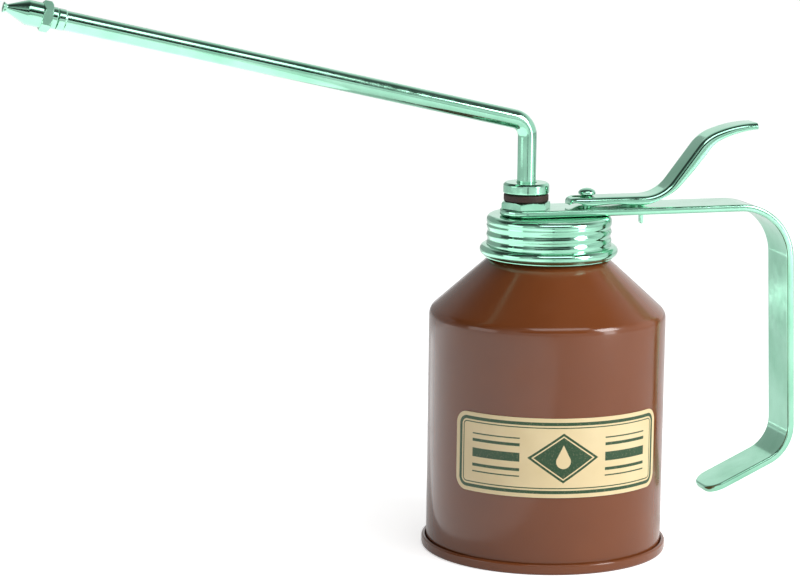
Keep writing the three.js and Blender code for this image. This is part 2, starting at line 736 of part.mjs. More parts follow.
/** Hollow stud that carries the spout, cross-drilled for the pin over the outlet ball. */
function dischargeStud() {
  const reach = new THREE.Vector3(0, 2 * STUD_RADIUS, 0);
  const middle = new THREE.Vector3(STUD_X, 0, outletPinZ);
  return cut(
    sleeve(STUD_BORE, STUD_RADIUS, studFoot, studTop, ROUND_COLUMNS, STUD_X),
    bar(OUTLET_PIN + SLIP, middle.clone().sub(reach), middle.clone().add(reach), SMALL_COLUMNS / 2),
  );
}

/** Swivel collar that holds the foot of the spout over the stud. */
function spoutCollar() {
  const roof = collarTop - COLLAR_ROOF;
  return turned([
    [studHole, collarZ],
    [COLLAR_RADIUS, collarZ],
    [COLLAR_RADIUS, collarTop - COLLAR_CHAMFER],
    [COLLAR_RADIUS - COLLAR_CHAMFER, collarTop],
    [SPOUT_RADIUS + SLIP, collarTop],
    [SPOUT_RADIUS + SLIP, roof],
    [studHole, roof],
  ], ROUND_COLUMNS, { x: STUD_X, loop: true });
}

/** Stations of the spout from its foot to the end of the tube. */
function spoutPath() {
  const bend = TURN / 4 - SPOUT_SLOPE;
  const tangent = SPOUT_ELBOW * Math.tan(bend / 2);
  return walk(STUD_X, spoutFoot, TURN / 4, [
    { run: SPOUT_FOOT_HEIGHT },
    { run: strapTop + SPOUT_CORNER_HEIGHT - tangent - spoutFootTop },
    { turn: bend, radius: SPOUT_ELBOW, steps: 7 },
    { run: SPOUT_REACH - tangent - SPOUT_END_LENGTH },
    { run: SPOUT_END_LENGTH },
  ]);
}

/** Bent spout tube with a flared foot and a beaded end. */
function spoutTube() {
  const path = spoutPath();
  const last = path.length - 1;
  const circle = ({ x, z, heading }, radius) => Array.from({ length: SMALL_COLUMNS }, (_, i) => {
    const angle = (i / SMALL_COLUMNS) * TURN;
    const above = radius * Math.sin(angle);
    return new THREE.Vector3(
      x - above * Math.sin(heading),
      radius * Math.cos(angle),
      z + above * Math.cos(heading),
    );
  });
  const outside = path.flatMap((station, i) => {
    if (i === 0) {
      return [circle(station, SPOUT_FOOT_RADIUS)];
    }
    if (i === 1) {
      return [circle(station, SPOUT_FOOT_RADIUS), circle(station, SPOUT_RADIUS)];
    }
    if (i === last - 1) {
      return [circle(station, SPOUT_RADIUS), circle(station, SPOUT_RADIUS + SPOUT_END_BEAD)];
    }
    return [circle(station, SPOUT_RADIUS + (i === last ? SPOUT_END_BEAD : 0))];
  });
  const inside = path.map((station) => circle(station, SPOUT_BORE)).reverse();
  return skin([...outside, ...inside], { loop: true });
}

/** Turned nozzle with a six-sided collar, made upright from the end of the tube. */
function nozzle() {
  const neck = SLIP + NOZZLE_NECK_LENGTH;
  const hex = neck + NOZZLE_HEX_LENGTH;
  const shoulder = hex + NOZZLE_BODY_LENGTH;
  const throat = shoulder + NOZZLE_CONE_LENGTH;
  const tip = throat + NOZZLE_TIP_LENGTH;
  const shank = SPOUT_BORE - SLIP;
  const body = turned([
    [0, -NOZZLE_SHANK],
    [shank, -NOZZLE_SHANK],
    [shank, SLIP],
    [NOZZLE_NECK_RADIUS, SLIP],
    [NOZZLE_NECK_RADIUS, neck + SLIP],
    [NOZZLE_BODY_RADIUS, hex - SLIP],
    [NOZZLE_BODY_RADIUS, shoulder],
    [NOZZLE_THROAT_RADIUS, throat],
    [NOZZLE_TIP_RADIUS, tip],
    [0, tip],
  ], SMALL_COLUMNS);
  return cut(
    joined(body, hexagon(NOZZLE_HEX_FLATS, neck, hex)),
    plug(NOZZLE_BORE, -NOZZLE_SHANK - SLIP, tip + SLIP, SMALL_COLUMNS / 2),
  );
}

/** Nozzle carried to the end of the spout, in line with its long leg. */
function placedNozzle() {
  const path = spoutPath();
  const { x, z, heading } = path[path.length - 1];
  const tip = new THREE.Group();
  tip.position.set(x, 0, z);
  tip.rotation.y = TURN / 4 - heading;
  oilCan.add(tip);
  tip.add(piece('nozzle', nozzle(), PLATED));
}

/** Cast pump block under the cap: it links the barrel to the stud through a drilled passage. */
function pumpBlock() {
  const studEnd = studHole + BLOCK_WALL;
  const span = ROD_X - STUD_X;
  const lean = Math.acos((studEnd - barrelRadius) / span);
  const steps = 10;
  const outline = new THREE.Shape([
    ...arc([STUD_X, 0], studEnd, lean, TURN - lean, steps),
    ...arc([ROD_X, 0], barrelRadius, -lean, lean, steps),
  ].map(([x, y]) => new THREE.Vector2(x, y)));
  const casting = new THREE.ExtrudeGeometry(outline, { depth: BLOCK_HEIGHT, bevelEnabled: false });
  casting.translate(0, 0, blockUnder);
  const end = new THREE.Vector3(STUD_X - studEnd - SLIP, 0, passageZ);
  const plugSeat = new THREE.Vector3(STUD_X - studEnd + PLUG_LENGTH + SLIP, 0, passageZ);
  const chamber = new THREE.Vector3(ROD_X - ROD_RADIUS, 0, passageZ);
  return cut(
    joined(casting, plug(spigotRadius, blockSpigot, blockTop - SLIP, ROUND_COLUMNS, ROD_X)),
    plug(CHAMBER_RADIUS, blockSpigot - SLIP, blockUnder + CHAMBER_HEIGHT, SMALL_COLUMNS, ROD_X),
    plug(rodHole, blockUnder, blockTop, SMALL_COLUMNS, ROD_X),
    plug(glandHole, glandFloor, blockTop + SLIP, SMALL_COLUMNS, ROD_X),
    plug(studHole, seatLedge, blockTop + SLIP, ROUND_COLUMNS, STUD_X),
    plug(STUD_BORE, passageZ - PASSAGE_RADIUS, seatLedge + SLIP, SMALL_COLUMNS, STUD_X),
    bar(PASSAGE_RADIUS, end, chamber, SMALL_COLUMNS / 2),
    bar(plugHole, end, plugSeat, SMALL_COLUMNS),
  );
}

/** Screwed plug in the drilled end of the passage. */
function passagePlug() {
  const outside = STUD_X - studHole - BLOCK_WALL;
  const from = new THREE.Vector3(outside + SLIP, 0, passageZ);
  const to = new THREE.Vector3(outside + PLUG_LENGTH, 0, passageZ);
  return bar(PLUG_RADIUS, from, to, SMALL_COLUMNS);
}

/** Pump rod with a domed head whose tapered underside rides on the lever. */
function pumpRod() {
  const headZ = webTop + ROD_HEAD_GAP;
  const rimZ = headZ + (ROD_HEAD_RADIUS - ROD_RADIUS) * Math.tan(ROD_HEAD_TAPER);
  const crown = headZ + ROD_HEAD_HEIGHT;
  const dome = [0.97, 0.8, 0.5].map((share) =>
    [ROD_HEAD_RADIUS * share, rimZ + (crown - rimZ) * Math.sqrt(1 - share ** 2)]);
  return turned([
    [0, pistonNutZ + ROD_END],
    [ROD_RADIUS, pistonNutZ + ROD_END],
    [ROD_RADIUS, headZ],
    [ROD_HEAD_RADIUS, rimZ],
    ...dome,
    [0, crown],
  ], SMALL_COLUMNS, { x: ROD_X });
}

/** Leather cup with its lip towards the spring. */
function pistonCup() {
  return turned([
    [rodHole, cupZ],
    [cupRadius - CUP_WALL / 2, cupZ],
    [cupRadius, cupZ + CUP_FLOOR],
    [cupRadius, cupTop],
    [cupRadius - CUP_WALL, cupTop],
    [cupRadius - CUP_WALL, cupZ + CUP_FLOOR],
    [rodHole, cupZ + CUP_FLOOR],
  ], SMALL_COLUMNS, { x: ROD_X, loop: true });
}

/** Piston that spreads the cup and seats the spring. */
function piston() {
  const core = cupRadius - CUP_WALL - SLIP;
  return turned([
    [rodHole, cupZ + CUP_FLOOR + SEAT],
    [core, cupZ + CUP_FLOOR + SEAT],
    [core, cupTop + SEAT],
    [cupRadius, cupTop + SEAT],
    [cupRadius, pistonTop],
    [rodHole, pistonTop],
  ], SMALL_COLUMNS, { x: ROD_X, loop: true });
}

/** Coil spring between the piston and the spigot of the block, as one unbroken wire. */
function returnSpring() {
  const stepsPerTurn = 8;
  const sides = 5;
  const wire = SPRING_WIRE / 2;
  const bottom = pistonTop + SEAT + wire;
  const climb = blockSpigot - SEAT - wire - bottom;
  const steps = SPRING_TURNS * stepsPerTurn;
  const outline = Array.from({ length: sides }, (_, i) => {
    const angle = (i / sides) * TURN;
    return [wire * Math.cos(angle), wire * Math.sin(angle)];
  });
  const rings = Array.from({ length: steps + 1 }, (_, i) => {
    const angle = (i / stepsPerTurn) * TURN;
    return outline.map(([out, up]) => new THREE.Vector3(
      ROD_X + (SPRING_MEAN_RADIUS + out) * Math.cos(angle),
      (SPRING_MEAN_RADIUS + out) * Math.sin(angle),
      bottom + (climb * i) / steps + up,
    ));
  });
  let least = Infinity;
  rings.forEach((row, i) => rings.slice(i + stepsPerTurn / 2).forEach((other) => {
    row.forEach((point) => other.forEach((far) => {
      least = Math.min(least, point.distanceTo(far));
    }));
  }));
  console.log(`return_spring least gap to itself ${least.toFixed(2)} mm`);
  return skin(rings, { outline });
}

/** Foot valve: seat and chamber of the inlet ball, and the socket of the suction tube. */
function footValve() {
  const reach = new THREE.Vector3(0, BARREL_BORE, 0);
  const middle = new THREE.Vector3(ROD_X, 0, inletPinZ);
  const body = turned([
    [VALVE_SOCKET_RADIUS, valveSocketZ],
    [VALVE_SOCKET_RADIUS, valveFlangeZ],
    [barrelRadius, valveFlangeZ],
    [barrelRadius, valveFlangeTop],
    [spigotRadius, valveFlangeTop],
    [spigotRadius, valveTop],
    [VALVE_CHAMBER, valveTop],
    [VALVE_CHAMBER, valveFloor],
    [INLET_HOLE, valveFloor],
    [INLET_HOLE, valveFlangeZ],
    [SUCTION_RADIUS + SLIP, valveFlangeZ],
    [SUCTION_RADIUS + SLIP, valveSocketZ],
  ], SMALL_COLUMNS, { x: ROD_X, loop: true });
  const [from, to] = [middle.clone().sub(reach), middle.clone().add(reach)];
  return cut(body, bar(INLET_PIN + SLIP, from, to, SMALL_COLUMNS / 2));
}

/** Stop pin across a valve, over its ball. */
function stopPin(radius, length, x, z) {
  const reach = new THREE.Vector3(0, length / 2, 0);
  const middle = new THREE.Vector3(x, 0, z);
  return bar(radius, middle.clone().sub(reach), middle.clone().add(reach), SMALL_COLUMNS / 2);
}

/** Strainer cup on the end of the suction tube, with a cross of side holes. */
function inletStrainer() {
  const floor = strainerZ + STRAINER_FLOOR;
  const holeZ = floor + STRAINER_CHAMBER / 2;
  const cup = turned([
    [0, strainerZ],
    [STRAINER_RADIUS, strainerZ],
    [STRAINER_RADIUS, strainerZ + STRAINER_HEIGHT],
    [SUCTION_RADIUS + SLIP, strainerZ + STRAINER_HEIGHT],
    [SUCTION_RADIUS + SLIP, floor],
    [0, floor],
  ], SMALL_COLUMNS, { x: ROD_X });
  const holes = [[2 * STRAINER_RADIUS, 0], [0, 2 * STRAINER_RADIUS]].map(([dx, dy]) => bar(
    STRAINER_HOLE,
    new THREE.Vector3(ROD_X - dx, -dy, holeZ),
    new THREE.Vector3(ROD_X + dx, dy, holeZ),
    SMALL_COLUMNS / 2,
  ));
  return cut(cup, ...holes);
}

// Can body
piece('can_shell', canShell(), PAINT);
piece('base_panel', basePanel(), PAINT);
piece('neck_ring', neckRing(), PLATED);
piece('label', label(), PAPER);

// Cap, strap and clamp nut
const gasketOuter = capCrest - CAP_EDGE_RADIUS;
const gasketSpan = [gasketZ, gasketZ + GASKET_THICKNESS];
piece('cap_gasket', sleeve(NECK_BORE, gasketOuter, ...gasketSpan, ROUND_COLUMNS), CORK);
piece('screw_cap', screwCap(), PLATED);
piece('handle_strap', handleStrap(), PLATED);
piece('clamp_nut', cut(
  hexagon(NUT_FLATS, nutZ, nutZ + NUT_HEIGHT, STUD_X),
  plug(studHole, strapTop, washerZ, ROUND_COLUMNS, STUD_X),
), PLATED);

// Lever
piece('thumb_lever', thumbLever(), PLATED);

// Spout
const washerTop = washerZ + WASHER_HEIGHT;
piece('spout_washer', sleeve(studHole, WASHER_RADIUS, washerZ, washerTop, ROUND_COLUMNS, STUD_X), LEATHER);
piece('discharge_stud', dischargeStud(), STEEL);
piece('spout_collar', spoutCollar(), PLATED);
piece('spout_tube', spoutTube(), PLATED);
placedNozzle();

// Pump block, gland and barrel
const bushSpan = [bushZ, bushTop];
const packingSpan = [packingZ, packingZ + PACKING_HEIGHT];
piece('pump_block', pumpBlock(), STEEL);
piece('passage_plug', passagePlug(), BRASS);
piece('rod_packing', sleeve(rodHole, GLAND_RADIUS, ...packingSpan, SMALL_COLUMNS, ROD_X), LEATHER);
piece('rod_bush', sleeve(rodHole, GLAND_RADIUS, ...bushSpan, SMALL_COLUMNS, ROD_X), BRASS);
piece('pump_barrel', sleeve(BARREL_BORE, barrelRadius, barrelFoot, barrelTop, ROUND_COLUMNS, ROD_X), BRASS);

// Rod and piston
piece('pump_rod', pumpRod(), PLATED);
piece('piston', piston(), BRASS);
piece('piston_cup', pistonCup(), LEATHER);
piece('piston_nut', cut(
  hexagon(PISTON_NUT_FLATS, pistonNutZ, pistonNutZ + PISTON_NUT_HEIGHT, ROD_X),
  plug(rodHole, valveTop, cupZ, SMALL_COLUMNS, ROD_X),
), STEEL);
piece('return_spring', returnSpring(), STEEL);

// Outlet and inlet valves
const seatSpan = [seatZ, seatZ + SEAT_HEIGHT];
piece('outlet_seat', sleeve(OUTLET_HOLE, STUD_RADIUS, ...seatSpan, ROUND_COLUMNS, STUD_X), BRASS);
piece('outlet_ball', ball(OUTLET_BALL, STUD_X, outletBallZ), STEEL);
piece('outlet_stop_pin', stopPin(OUTLET_PIN, 2 * STUD_RADIUS - SLIP, STUD_X, outletPinZ), BRASS);
piece('foot_valve', footValve(), BRASS);
piece('inlet_ball', ball(INLET_BALL, ROD_X, inletBallZ), STEEL);
piece('inlet_stop_pin', stopPin(INLET_PIN, 2 * spigotRadius - SLIP, ROD_X, inletPinZ), BRASS);

// Suction side
const suctionSpan = [suctionFoot, suctionTop];
piece('suction_tube', sleeve(SUCTION_BORE, SUCTION_RADIUS, ...suctionSpan, SMALL_COLUMNS, ROD_X), BRASS);
piece('inlet_strainer', inletStrainer(), BRASS);

export default oilCan;
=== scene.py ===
"""Dressed model of a hand pump oil can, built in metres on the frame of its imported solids.

Sizes are millimetres with +Z up and the origin at the middle of the base. Every visible piece is a
surface of whole numpy arrays: an outline turned round an axis, an outline carried along a plane
track, or a plate with rounded edges that is bent along a track.
"""
import logging
import math
from collections.abc import Callable, Sequence
from dataclasses import dataclass
from enum import Enum

import bmesh
import bpy
import numpy as np
from mathutils import Matrix, Quaternion, Vector


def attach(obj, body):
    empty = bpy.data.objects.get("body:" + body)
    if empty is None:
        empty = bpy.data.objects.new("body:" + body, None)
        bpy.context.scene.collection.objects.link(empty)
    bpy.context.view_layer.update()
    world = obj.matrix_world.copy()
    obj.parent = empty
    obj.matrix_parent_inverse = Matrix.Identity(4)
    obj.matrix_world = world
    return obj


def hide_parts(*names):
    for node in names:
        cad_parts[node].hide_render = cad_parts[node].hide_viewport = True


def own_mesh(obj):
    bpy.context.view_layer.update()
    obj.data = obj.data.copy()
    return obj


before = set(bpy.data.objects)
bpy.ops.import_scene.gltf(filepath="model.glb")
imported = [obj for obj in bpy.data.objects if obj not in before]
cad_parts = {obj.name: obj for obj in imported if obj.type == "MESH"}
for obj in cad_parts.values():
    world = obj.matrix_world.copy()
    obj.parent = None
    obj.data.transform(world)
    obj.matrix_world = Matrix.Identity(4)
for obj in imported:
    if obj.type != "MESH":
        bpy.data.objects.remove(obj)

LOG = logging.getLogger("oil_can")
Array = np.ndarray
Pair = tuple[float, float]
Triple = tuple[float, float, float]
Four = tuple[float, float, float, float]
Tree = bpy.types.NodeTree
Socket = bpy.types.NodeSocket
Bender = Callable[[Array, Array, float], Array]
Outliner = Callable[[float], Array]

MM = 0.001  # metres in a millimetre
COLUMNS = 128  # points round a turned piece
FINE_COLUMNS = 48  # points round a slim piece
HEX_COLUMNS = 144  # points round the nut
NOZZLE_COLUMNS = 96  # points round the nozzle
ARC_STEP = math.radians(7.5)  # longest step on an arc
CORNER_STEPS = 13  # points on a corner of a plate
EDGE_STEPS = 6  # points on the rounded edge of a plate
EDGE_BORDER = 1.6  # width of the band inside that edge, in edge radii
PLATE_STEP = 1.0  # longest step along a plate
TOOL_EDGE = 0.1  # edge radius of a slot cutter
NEAR = 0.01  # tolerance on a place in an outline
WELD = 2e-7  # points closer than this, in metres, become one
SHARP_ANGLE = 34.0  # faces that meet at more degrees than this keep a hard edge
STUD_X, ROD_X = -8.4, 13.3  # axes of the spout's stud and of the pump rod
STUD_HOLE = 5.05  # radius of the holes for the stud
WHITE = (1.0, 1.0, 1.0, 1.0)


class Body(Enum):
    """Moving bodies of the frame."""

    CAN = "can"
    GASKET = "gasket"
    HEAD = "head"
    LEVER = "lever"
    ROD = "rod"
    SPOUT = "spout"


class Slot(Enum):
    """Material slots of the record."""

    ENAMEL = "brown_enamel"
    PLATING = "bright_plating"
    LABEL = "label_film"
    LEATHER = "leather"
    CORK = "cork_rubber"
    BRASS = "brass"
    STEEL = "plain_steel"


class Grain(Enum):
    """Spacing of the fine marks on a metal along X, Y and Z, in millimetres.

    Real marks lie closer. These are drawn as coarse as they need to be to show.
    """

    ALONG = (16.667, 0.38462, 0.38462)
    AROUND = (8.3333, 8.3333, 0.3125)


@dataclass(frozen=True)
class Surface:
    """Closed surface: points in millimetres and faces as lists of point numbers."""

    points: Array
    faces: list[list[int]]


def ring_angles(columns: int) -> Array:
    """Even angles of one whole turn."""
    return np.arange(columns) * math.tau / columns


def quarter_turn(steps: int) -> Array:
    """Even angles from 0 to a right angle."""
    return np.linspace(0.0, 0.5 * math.pi, steps)


def arc(centre: Sequence[float] | Array, reach: float | Array, angles: Array) -> Array:
    """Points of an arc, or of an ellipse where reach is a pair: centre + reach (cos a, sin a)."""
    return np.asarray(centre) + reach * np.stack([np.cos(angles), np.sin(angles)], axis=-1)


def rounded(corners: Sequence[Triple], closed: bool = True, longest: float = 4.0) -> Array:
    """Outline through corners, each with an arc of its radius that touches both of its sides.

    The arc is centre + radius (cos a, sin a), with the centre on the corner's bisector.

    Args:
        corners: (u, v, radius) of each corner in order.
        closed: whether the last corner joins the first.
        longest: no straight piece of the outline is longer than this.

    Returns:
        Points of the outline, n by 2.
    """
    spots = np.array([corner[:2] for corner in corners], dtype=float)
    runs = []
    for index, (_, _, radius) in enumerate(corners):
        here = spots[index]
        if radius <= 0.0 or (not closed and index in (0, len(corners) - 1)):
            runs.append(here[None])
            continue
        back = spots[index - 1] - here
        ahead = spots[(index + 1) % len(corners)] - here
        back, ahead = back / np.linalg.norm(back), ahead / np.linalg.norm(ahead)
        half = 0.5 * math.acos(float(np.clip(back @ ahead, -1.0, 1.0)))
        middle = (back + ahead) / np.linalg.norm(back + ahead)
        centre = here + middle * radius / math.sin(half)
        first = here + back * radius / math.tan(half) - centre
        last = here + ahead * radius / math.tan(half) - centre
        begin = math.atan2(first[1], first[0])
        turn = (math.atan2(last[1], last[0]) - begin + math.pi) % math.tau - math.pi
        steps = max(2, math.ceil(abs(turn) / ARC_STEP)) + 1
        runs.append(arc(centre, radius, begin + turn * np.linspace(0.0, 1.0, steps)))
    return filled(np.concatenate(runs), closed, longest)


def filled(outline: Array, closed: bool, longest: float) -> Array:
    """Outline with points added evenly on its long pieces.

    Args:
        outline: points, n by 2 or more columns.
        closed: whether the last point joins the first.
        longest: longest piece that stays whole.

    Returns:
        Points with the added ones between them.
    """
    ends = np.roll(outline, -1, axis=0) if closed else outline[1:]
    starts = outline if closed else outline[:-1]
    counts = np.ceil(np.linalg.norm((ends - starts)[:, :2], axis=1) / longest).astype(int)
    counts = np.maximum(counts, 1)
    piece = np.repeat(np.arange(len(starts)), counts)
    share = (np.arange(len(piece)) - np.repeat(np.cumsum(counts) - counts, counts)) / counts[piece]
    points = starts[piece] + (ends - starts)[piece] * share[:, None]
    return points if closed else np.concatenate([points, outline[-1:]])


def woven(points: Array, loop_rows: bool = True) -> Surface:
    """Quads between the rows of a grid whose columns close on themselves.

    Args:
        points: rows by columns by 3.
        loop_rows: whether the last row joins the first.

    Returns:
        The surface.
    """
    rows, columns = points.shape[:2]
    first_rows = np.arange(rows if loop_rows else rows - 1)
    row, column = np.meshgrid(first_rows, np.arange(columns), indexing="ij")
    below, beside = (row + 1) % rows, (column + 1) % columns
    quads = np.stack([row * columns + column, row * columns + beside,
                      below * columns + beside, below * columns + column], axis=-1)
    return Surface(points.reshape(-1, 3), quads.reshape(-1, 4).tolist())


def turned(outline: Array, columns: int = COLUMNS, x: float = 0.0, radii: Array | None = None) -> Surface:
    """Outline turned round an upright axis: (x + r cos a, r sin a, z).

    Args:
        outline: closed outline as (radius, height) rows.
        columns: points round the axis.
        x: place of the axis.
        radii: radius of each row and column where it changes round the axis.

    Returns:
        The surface.
    """
    angles = ring_angles(columns)
    reach = outline[:, :1] + 0.0 * angles if radii is None else radii
    height = outline[:, 1:2] + 0.0 * angles
    return woven(np.stack([x + reach * np.cos(angles), reach * np.sin(angles), height], axis=-1))


def washer_ring(ring: Four, inner_round: float, outer_round: float, x: float = 0.0) -> Surface:
    """Flat ring with rounded rims: a rectangle turned round an upright axis.

    Args:
        ring: inner and outer radius, lower and upper height.
        inner_round: rounding of the inner rims.
        outer_round: rounding of the outer rims.
        x: place of the axis.

    Returns:
        The surface.
    """
    inner, outer, low, high = ring
    return turned(rounded([(inner, low, inner_round), (outer, low, outer_round),
                           (outer, high, outer_round), (inner, high, inner_round)]), x=x)


def six_sided(outline: Array, across_flats: float, columns: int, turn: float) -> Array:
    """Radii of an outline cut down to a hexagon: the lesser of r and (flats / 2) / cos(a to the face).

    Args:
        outline: (radius, height, flag) rows, where a flag over 0 asks for the hexagon.
        across_flats: size over two faces.
        columns: points round the axis, a multiple of six.
        turn: angle from the first corner to the first column, in degrees.

    Returns:
        Radii, rows by columns.
    """
    to_face = (ring_angles(columns) + math.radians(turn)) % (math.pi / 3) - math.pi / 6
    hexagon = 0.5 * across_flats / np.cos(to_face)
    return np.where(outline[:, 2:3] > 0.5, np.minimum(outline[:, :1], hexagon), outline[:, :1])


@dataclass(frozen=True)
class Track:
    """Plane path in X and Z made of legs, each straight or an arc.

    Args:
        start: X and Z where the path begins.
        heading: first direction, in degrees up from +X.
        legs: length and turn in degrees of each leg.
    """

    start: Pair
    heading: float
    legs: tuple[Pair, ...]

    @property
    def length(self) -> float:
        """Length over all legs."""
        return sum(leg[0] for leg in self.legs)

    def at(self, s: Array) -> tuple[Array, Array]:
        """Places and left-hand normals at distances s, the ends carried on beyond the path.

        On an arc of bend k the place is ((sin(h + k s) - sin h) / k, (cos h - cos(h + k s)) / k).

        Args:
            s: distances along the path.

        Returns:
            Places and normals, each n by 2 as X and Z.
        """
        s = np.asarray(s, dtype=float)
        corner, heading, reach = np.array(self.start, dtype=float), math.radians(self.heading), 0.0
        places, aims = np.zeros((len(s), 2)), np.zeros(len(s))
        for index, (length, turn) in enumerate(self.legs):
            on_leg = (s >= reach) if index else np.full(len(s), True)
            run, bend = np.append(s - reach, length), math.radians(turn) / length
            aim = heading + bend * run
            if turn:
                step = np.stack([np.sin(aim) - math.sin(heading), math.cos(heading) - np.cos(aim)], -1) / bend
            else:
                step = run[:, None] * np.array([math.cos(heading), math.sin(heading)])
            places[on_leg], aims[on_leg] = (corner + step[:-1])[on_leg], aim[:-1][on_leg]
            corner, heading, reach = corner + step[-1], float(aim[-1]), reach + length
        return places, np.stack([-np.sin(aims), np.cos(aims)], axis=-1)

    def bend(self, s: Array, y: Array, depth: Array | float) -> Array:
        """Points at distance s, side y and depth below the path: place - depth * normal.

        Args:
            s: distances along the path.
            y: places across it.
            depth: depths below it.

        Returns:
            Points, n by 3.
        """
        places, normals = self.at(s)
        flat = places - normals * np.reshape(depth, (-1, 1))
        return np.stack([flat[:, 0], np.broadcast_to(y, len(flat)), flat[:, 1]], axis=-1)


def carried(track: Track, outline: Array, columns: int = FINE_COLUMNS, radii: Array | None = None) -> Surface:
    """Rings carried along a track: place(s) + r (cos a Y + sin a N).

    Args:
        track: path of the rings' middles.
        outline: closed outline as (radius, distance along the track) rows.
        columns: points round each ring.
        radii: radius of each row and column where it changes round the ring.

    Returns:
        The surface.
    """
    angles = ring_angles(columns)
    reach = outline[:, :1] + 0.0 * angles if radii is None else radii
    places, normals = track.at(outline[:, 1])
    rise = reach * np.sin(angles)
    return woven(np.stack([places[:, :1] + rise * normals[:, :1], reach * np.cos(angles),
                           places[:, 1:] + rise * normals[:, 1:]], axis=-1))


def tablet(span: Pair, half: float, corners: Pair, step: float = PLATE_STEP) -> Outliner:
    """Maker of the half outline of a long plate with rounded corners.

    Args:
        span: first and last place along the plate.
        half: half of its width.
        corners: corner radius at the first and the last end.
        step: longest step between the points along it.

    Returns:
        Function of an inset that gives (place, half width) rows.
    """
    def outline(inset: float) -> Array:
        """Half outline, moved in by the inset: each corner is an arc of radius corner - inset.

        Args:
            inset: how far it is moved in.

        Returns:
            The (place, half width) rows.
        """
        angles, (first, last) = quarter_turn(CORNER_STEPS), corners
        start = arc((span[0] + first, half - first), (first - inset) * np.array([-1.0, 1.0]), angles)
        end = arc((span[1] - last, half - last), last - inset, angles[::-1])
        run = span[1] - last - span[0] - first
        along = span[0] + first + np.linspace(0.0, run, max(2, math.ceil(run / step)) + 1)[1:-1]
        middle = np.stack([along, np.full(len(along), half - inset)], axis=-1)
        return np.concatenate([start, middle, end])
    return outline


def plate(bend: Bender, outline: Outliner, thickness: float, edge: float) -> Surface:
    """Plate with rounded edges, as rings of its outline from one face to the other.

    Ring k is the outline moved in by edge (1 - sin q) at depth edge (1 - cos q), then the same back.

    Args:
        bend: gives points from places along, places across and a depth.
        outline: gives the half outline for an inset.
        thickness: depth of the far face.
        edge: radius of the edges.

    Returns:
        The surface, with each face filled by quads from side to side.
    """
    turn = quarter_turn(EDGE_STEPS)
    insets = np.concatenate([[EDGE_BORDER * edge], edge * (1.0 - np.sin(turn))])
    depths = np.concatenate([[0.0], edge * (1.0 - np.cos(turn))])
    rings = [*zip(insets, depths), *zip(insets[::-1], thickness - depths[::-1])]
    rows = []
    for inset, depth in rings:
        half = outline(float(inset))
        loop = np.concatenate([half, half[::-1] * (1.0, -1.0)])
        rows.append(bend(loop[:, 0], loop[:, 1], float(depth)))
    walls = woven(np.stack(rows), loop_rows=False)
    around = len(rows[0])
    near = np.arange(around // 2 - 1)
    quads = np.stack([near, near + 1, around - 2 - near, around - 1 - near], axis=-1)
    faces = np.concatenate([quads, quads + (len(rings) - 1) * around]).tolist()
    return Surface(walls.points, walls.faces + faces)


def drill(radius: float, low: float, high: float, x: float) -> Surface:
    """Upright cylinder, used as a drill: a rectangle turned about its axis.

    Args:
        radius: radius of the hole.
        low: lower end.
        high: upper end.
        x: place of the axis.

    Returns:
        The surface.
    """
    return turned(np.array([[0.0, low], [radius, low], [radius, high], [0.0, high]]), FINE_COLUMNS, x)


def slot_cutter(span: Pair, half: float, corners: Pair, low: float, high: float) -> Surface:
    """Upright cutter of a slot: a rounded plate that reaches from the upper end to the lower one.

    Args:
        span: first and last place of the slot along X.
        half: half of its width.
        corners: corner radius at its first and last end.
        low: lower end.
        high: upper end.

    Returns:
        The surface.
    """
    def upright(s: Array, y: Array, depth: float) -> Array:
        """Points below the upper end."""
        return np.stack([s, y, np.full(len(s), high - depth)], axis=-1)
    return plate(upright, tablet(span, half, corners), high - low, TOOL_EDGE)


def smooth(mesh: bpy.types.Mesh) -> None:
    """Smooth shading with hard edges where two faces meet at a sharp angle."""
    mesh.shade_smooth()
    mesh.set_sharp_from_angle(angle=math.radians(SHARP_ANGLE))


def assemble(name: str, surface: Surface) -> bpy.types.Object:
    """Object at the origin from a surface, its seams and poles welded and its faces turned outward.

    Args:
        name: name of the object.
        surface: the surface in millimetres.

    Returns:
        The object, linked into the scene.
    """
    mesh = bpy.data.meshes.new(name)
    mesh.from_pydata((surface.points * MM).tolist(), [], surface.faces)
    work = bmesh.new()
    work.from_mesh(mesh)
    bmesh.ops.remove_doubles(work, verts=work.verts, dist=WELD)
    bmesh.ops.recalc_face_normals(work, faces=work.faces)
    work.to_mesh(mesh)
    work.free()
    smooth(mesh)
    piece = bpy.data.objects.new(name, mesh)
    bpy.context.scene.collection.objects.link(piece)
    return piece


def carve(piece: bpy.types.Object, tools: Sequence[Surface], operation: str = "DIFFERENCE") -> None:
    """Cuts tools out of a piece, or joins them to it, and keeps the result as its mesh.

    Args:
        piece: the piece to work on.
        tools: closed surfaces.
        operation: DIFFERENCE or UNION.
    """
    helpers = [assemble("carving_tool", tool) for tool in tools]
    for helper in helpers:
        step = piece.modifiers.new("carve", "BOOLEAN")
        step.operation, step.solver, step.object = operation, "EXACT", helper
    shaped = bpy.data.meshes.new_from_object(piece.evaluated_get(bpy.context.evaluated_depsgraph_get()))
    piece.modifiers.clear()
    spent = [piece.data, *(helper.data for helper in helpers)]
    piece.data = shaped
    for helper in helpers:
        bpy.data.objects.remove(helper)
    for mesh in spent:
        bpy.data.meshes.remove(mesh)
    smooth(shaped)


def linear(code: str) -> Four:
    """Linear colour of an sRGB code such as #743E1E, by the curve of the sRGB standard.

    Args:
        code: the code.

    Returns:
        Red, green, blue and a full alpha.
    """
    shares = np.array([int(code[place:place + 2], 16) for place in (1, 3, 5)]) / 255.0
    light = np.where(shares <= 0.04045, shares / 12.92, ((shares + 0.055) / 1.055) ** 2.4)
    return (*(float(value) for value in light), 1.0)


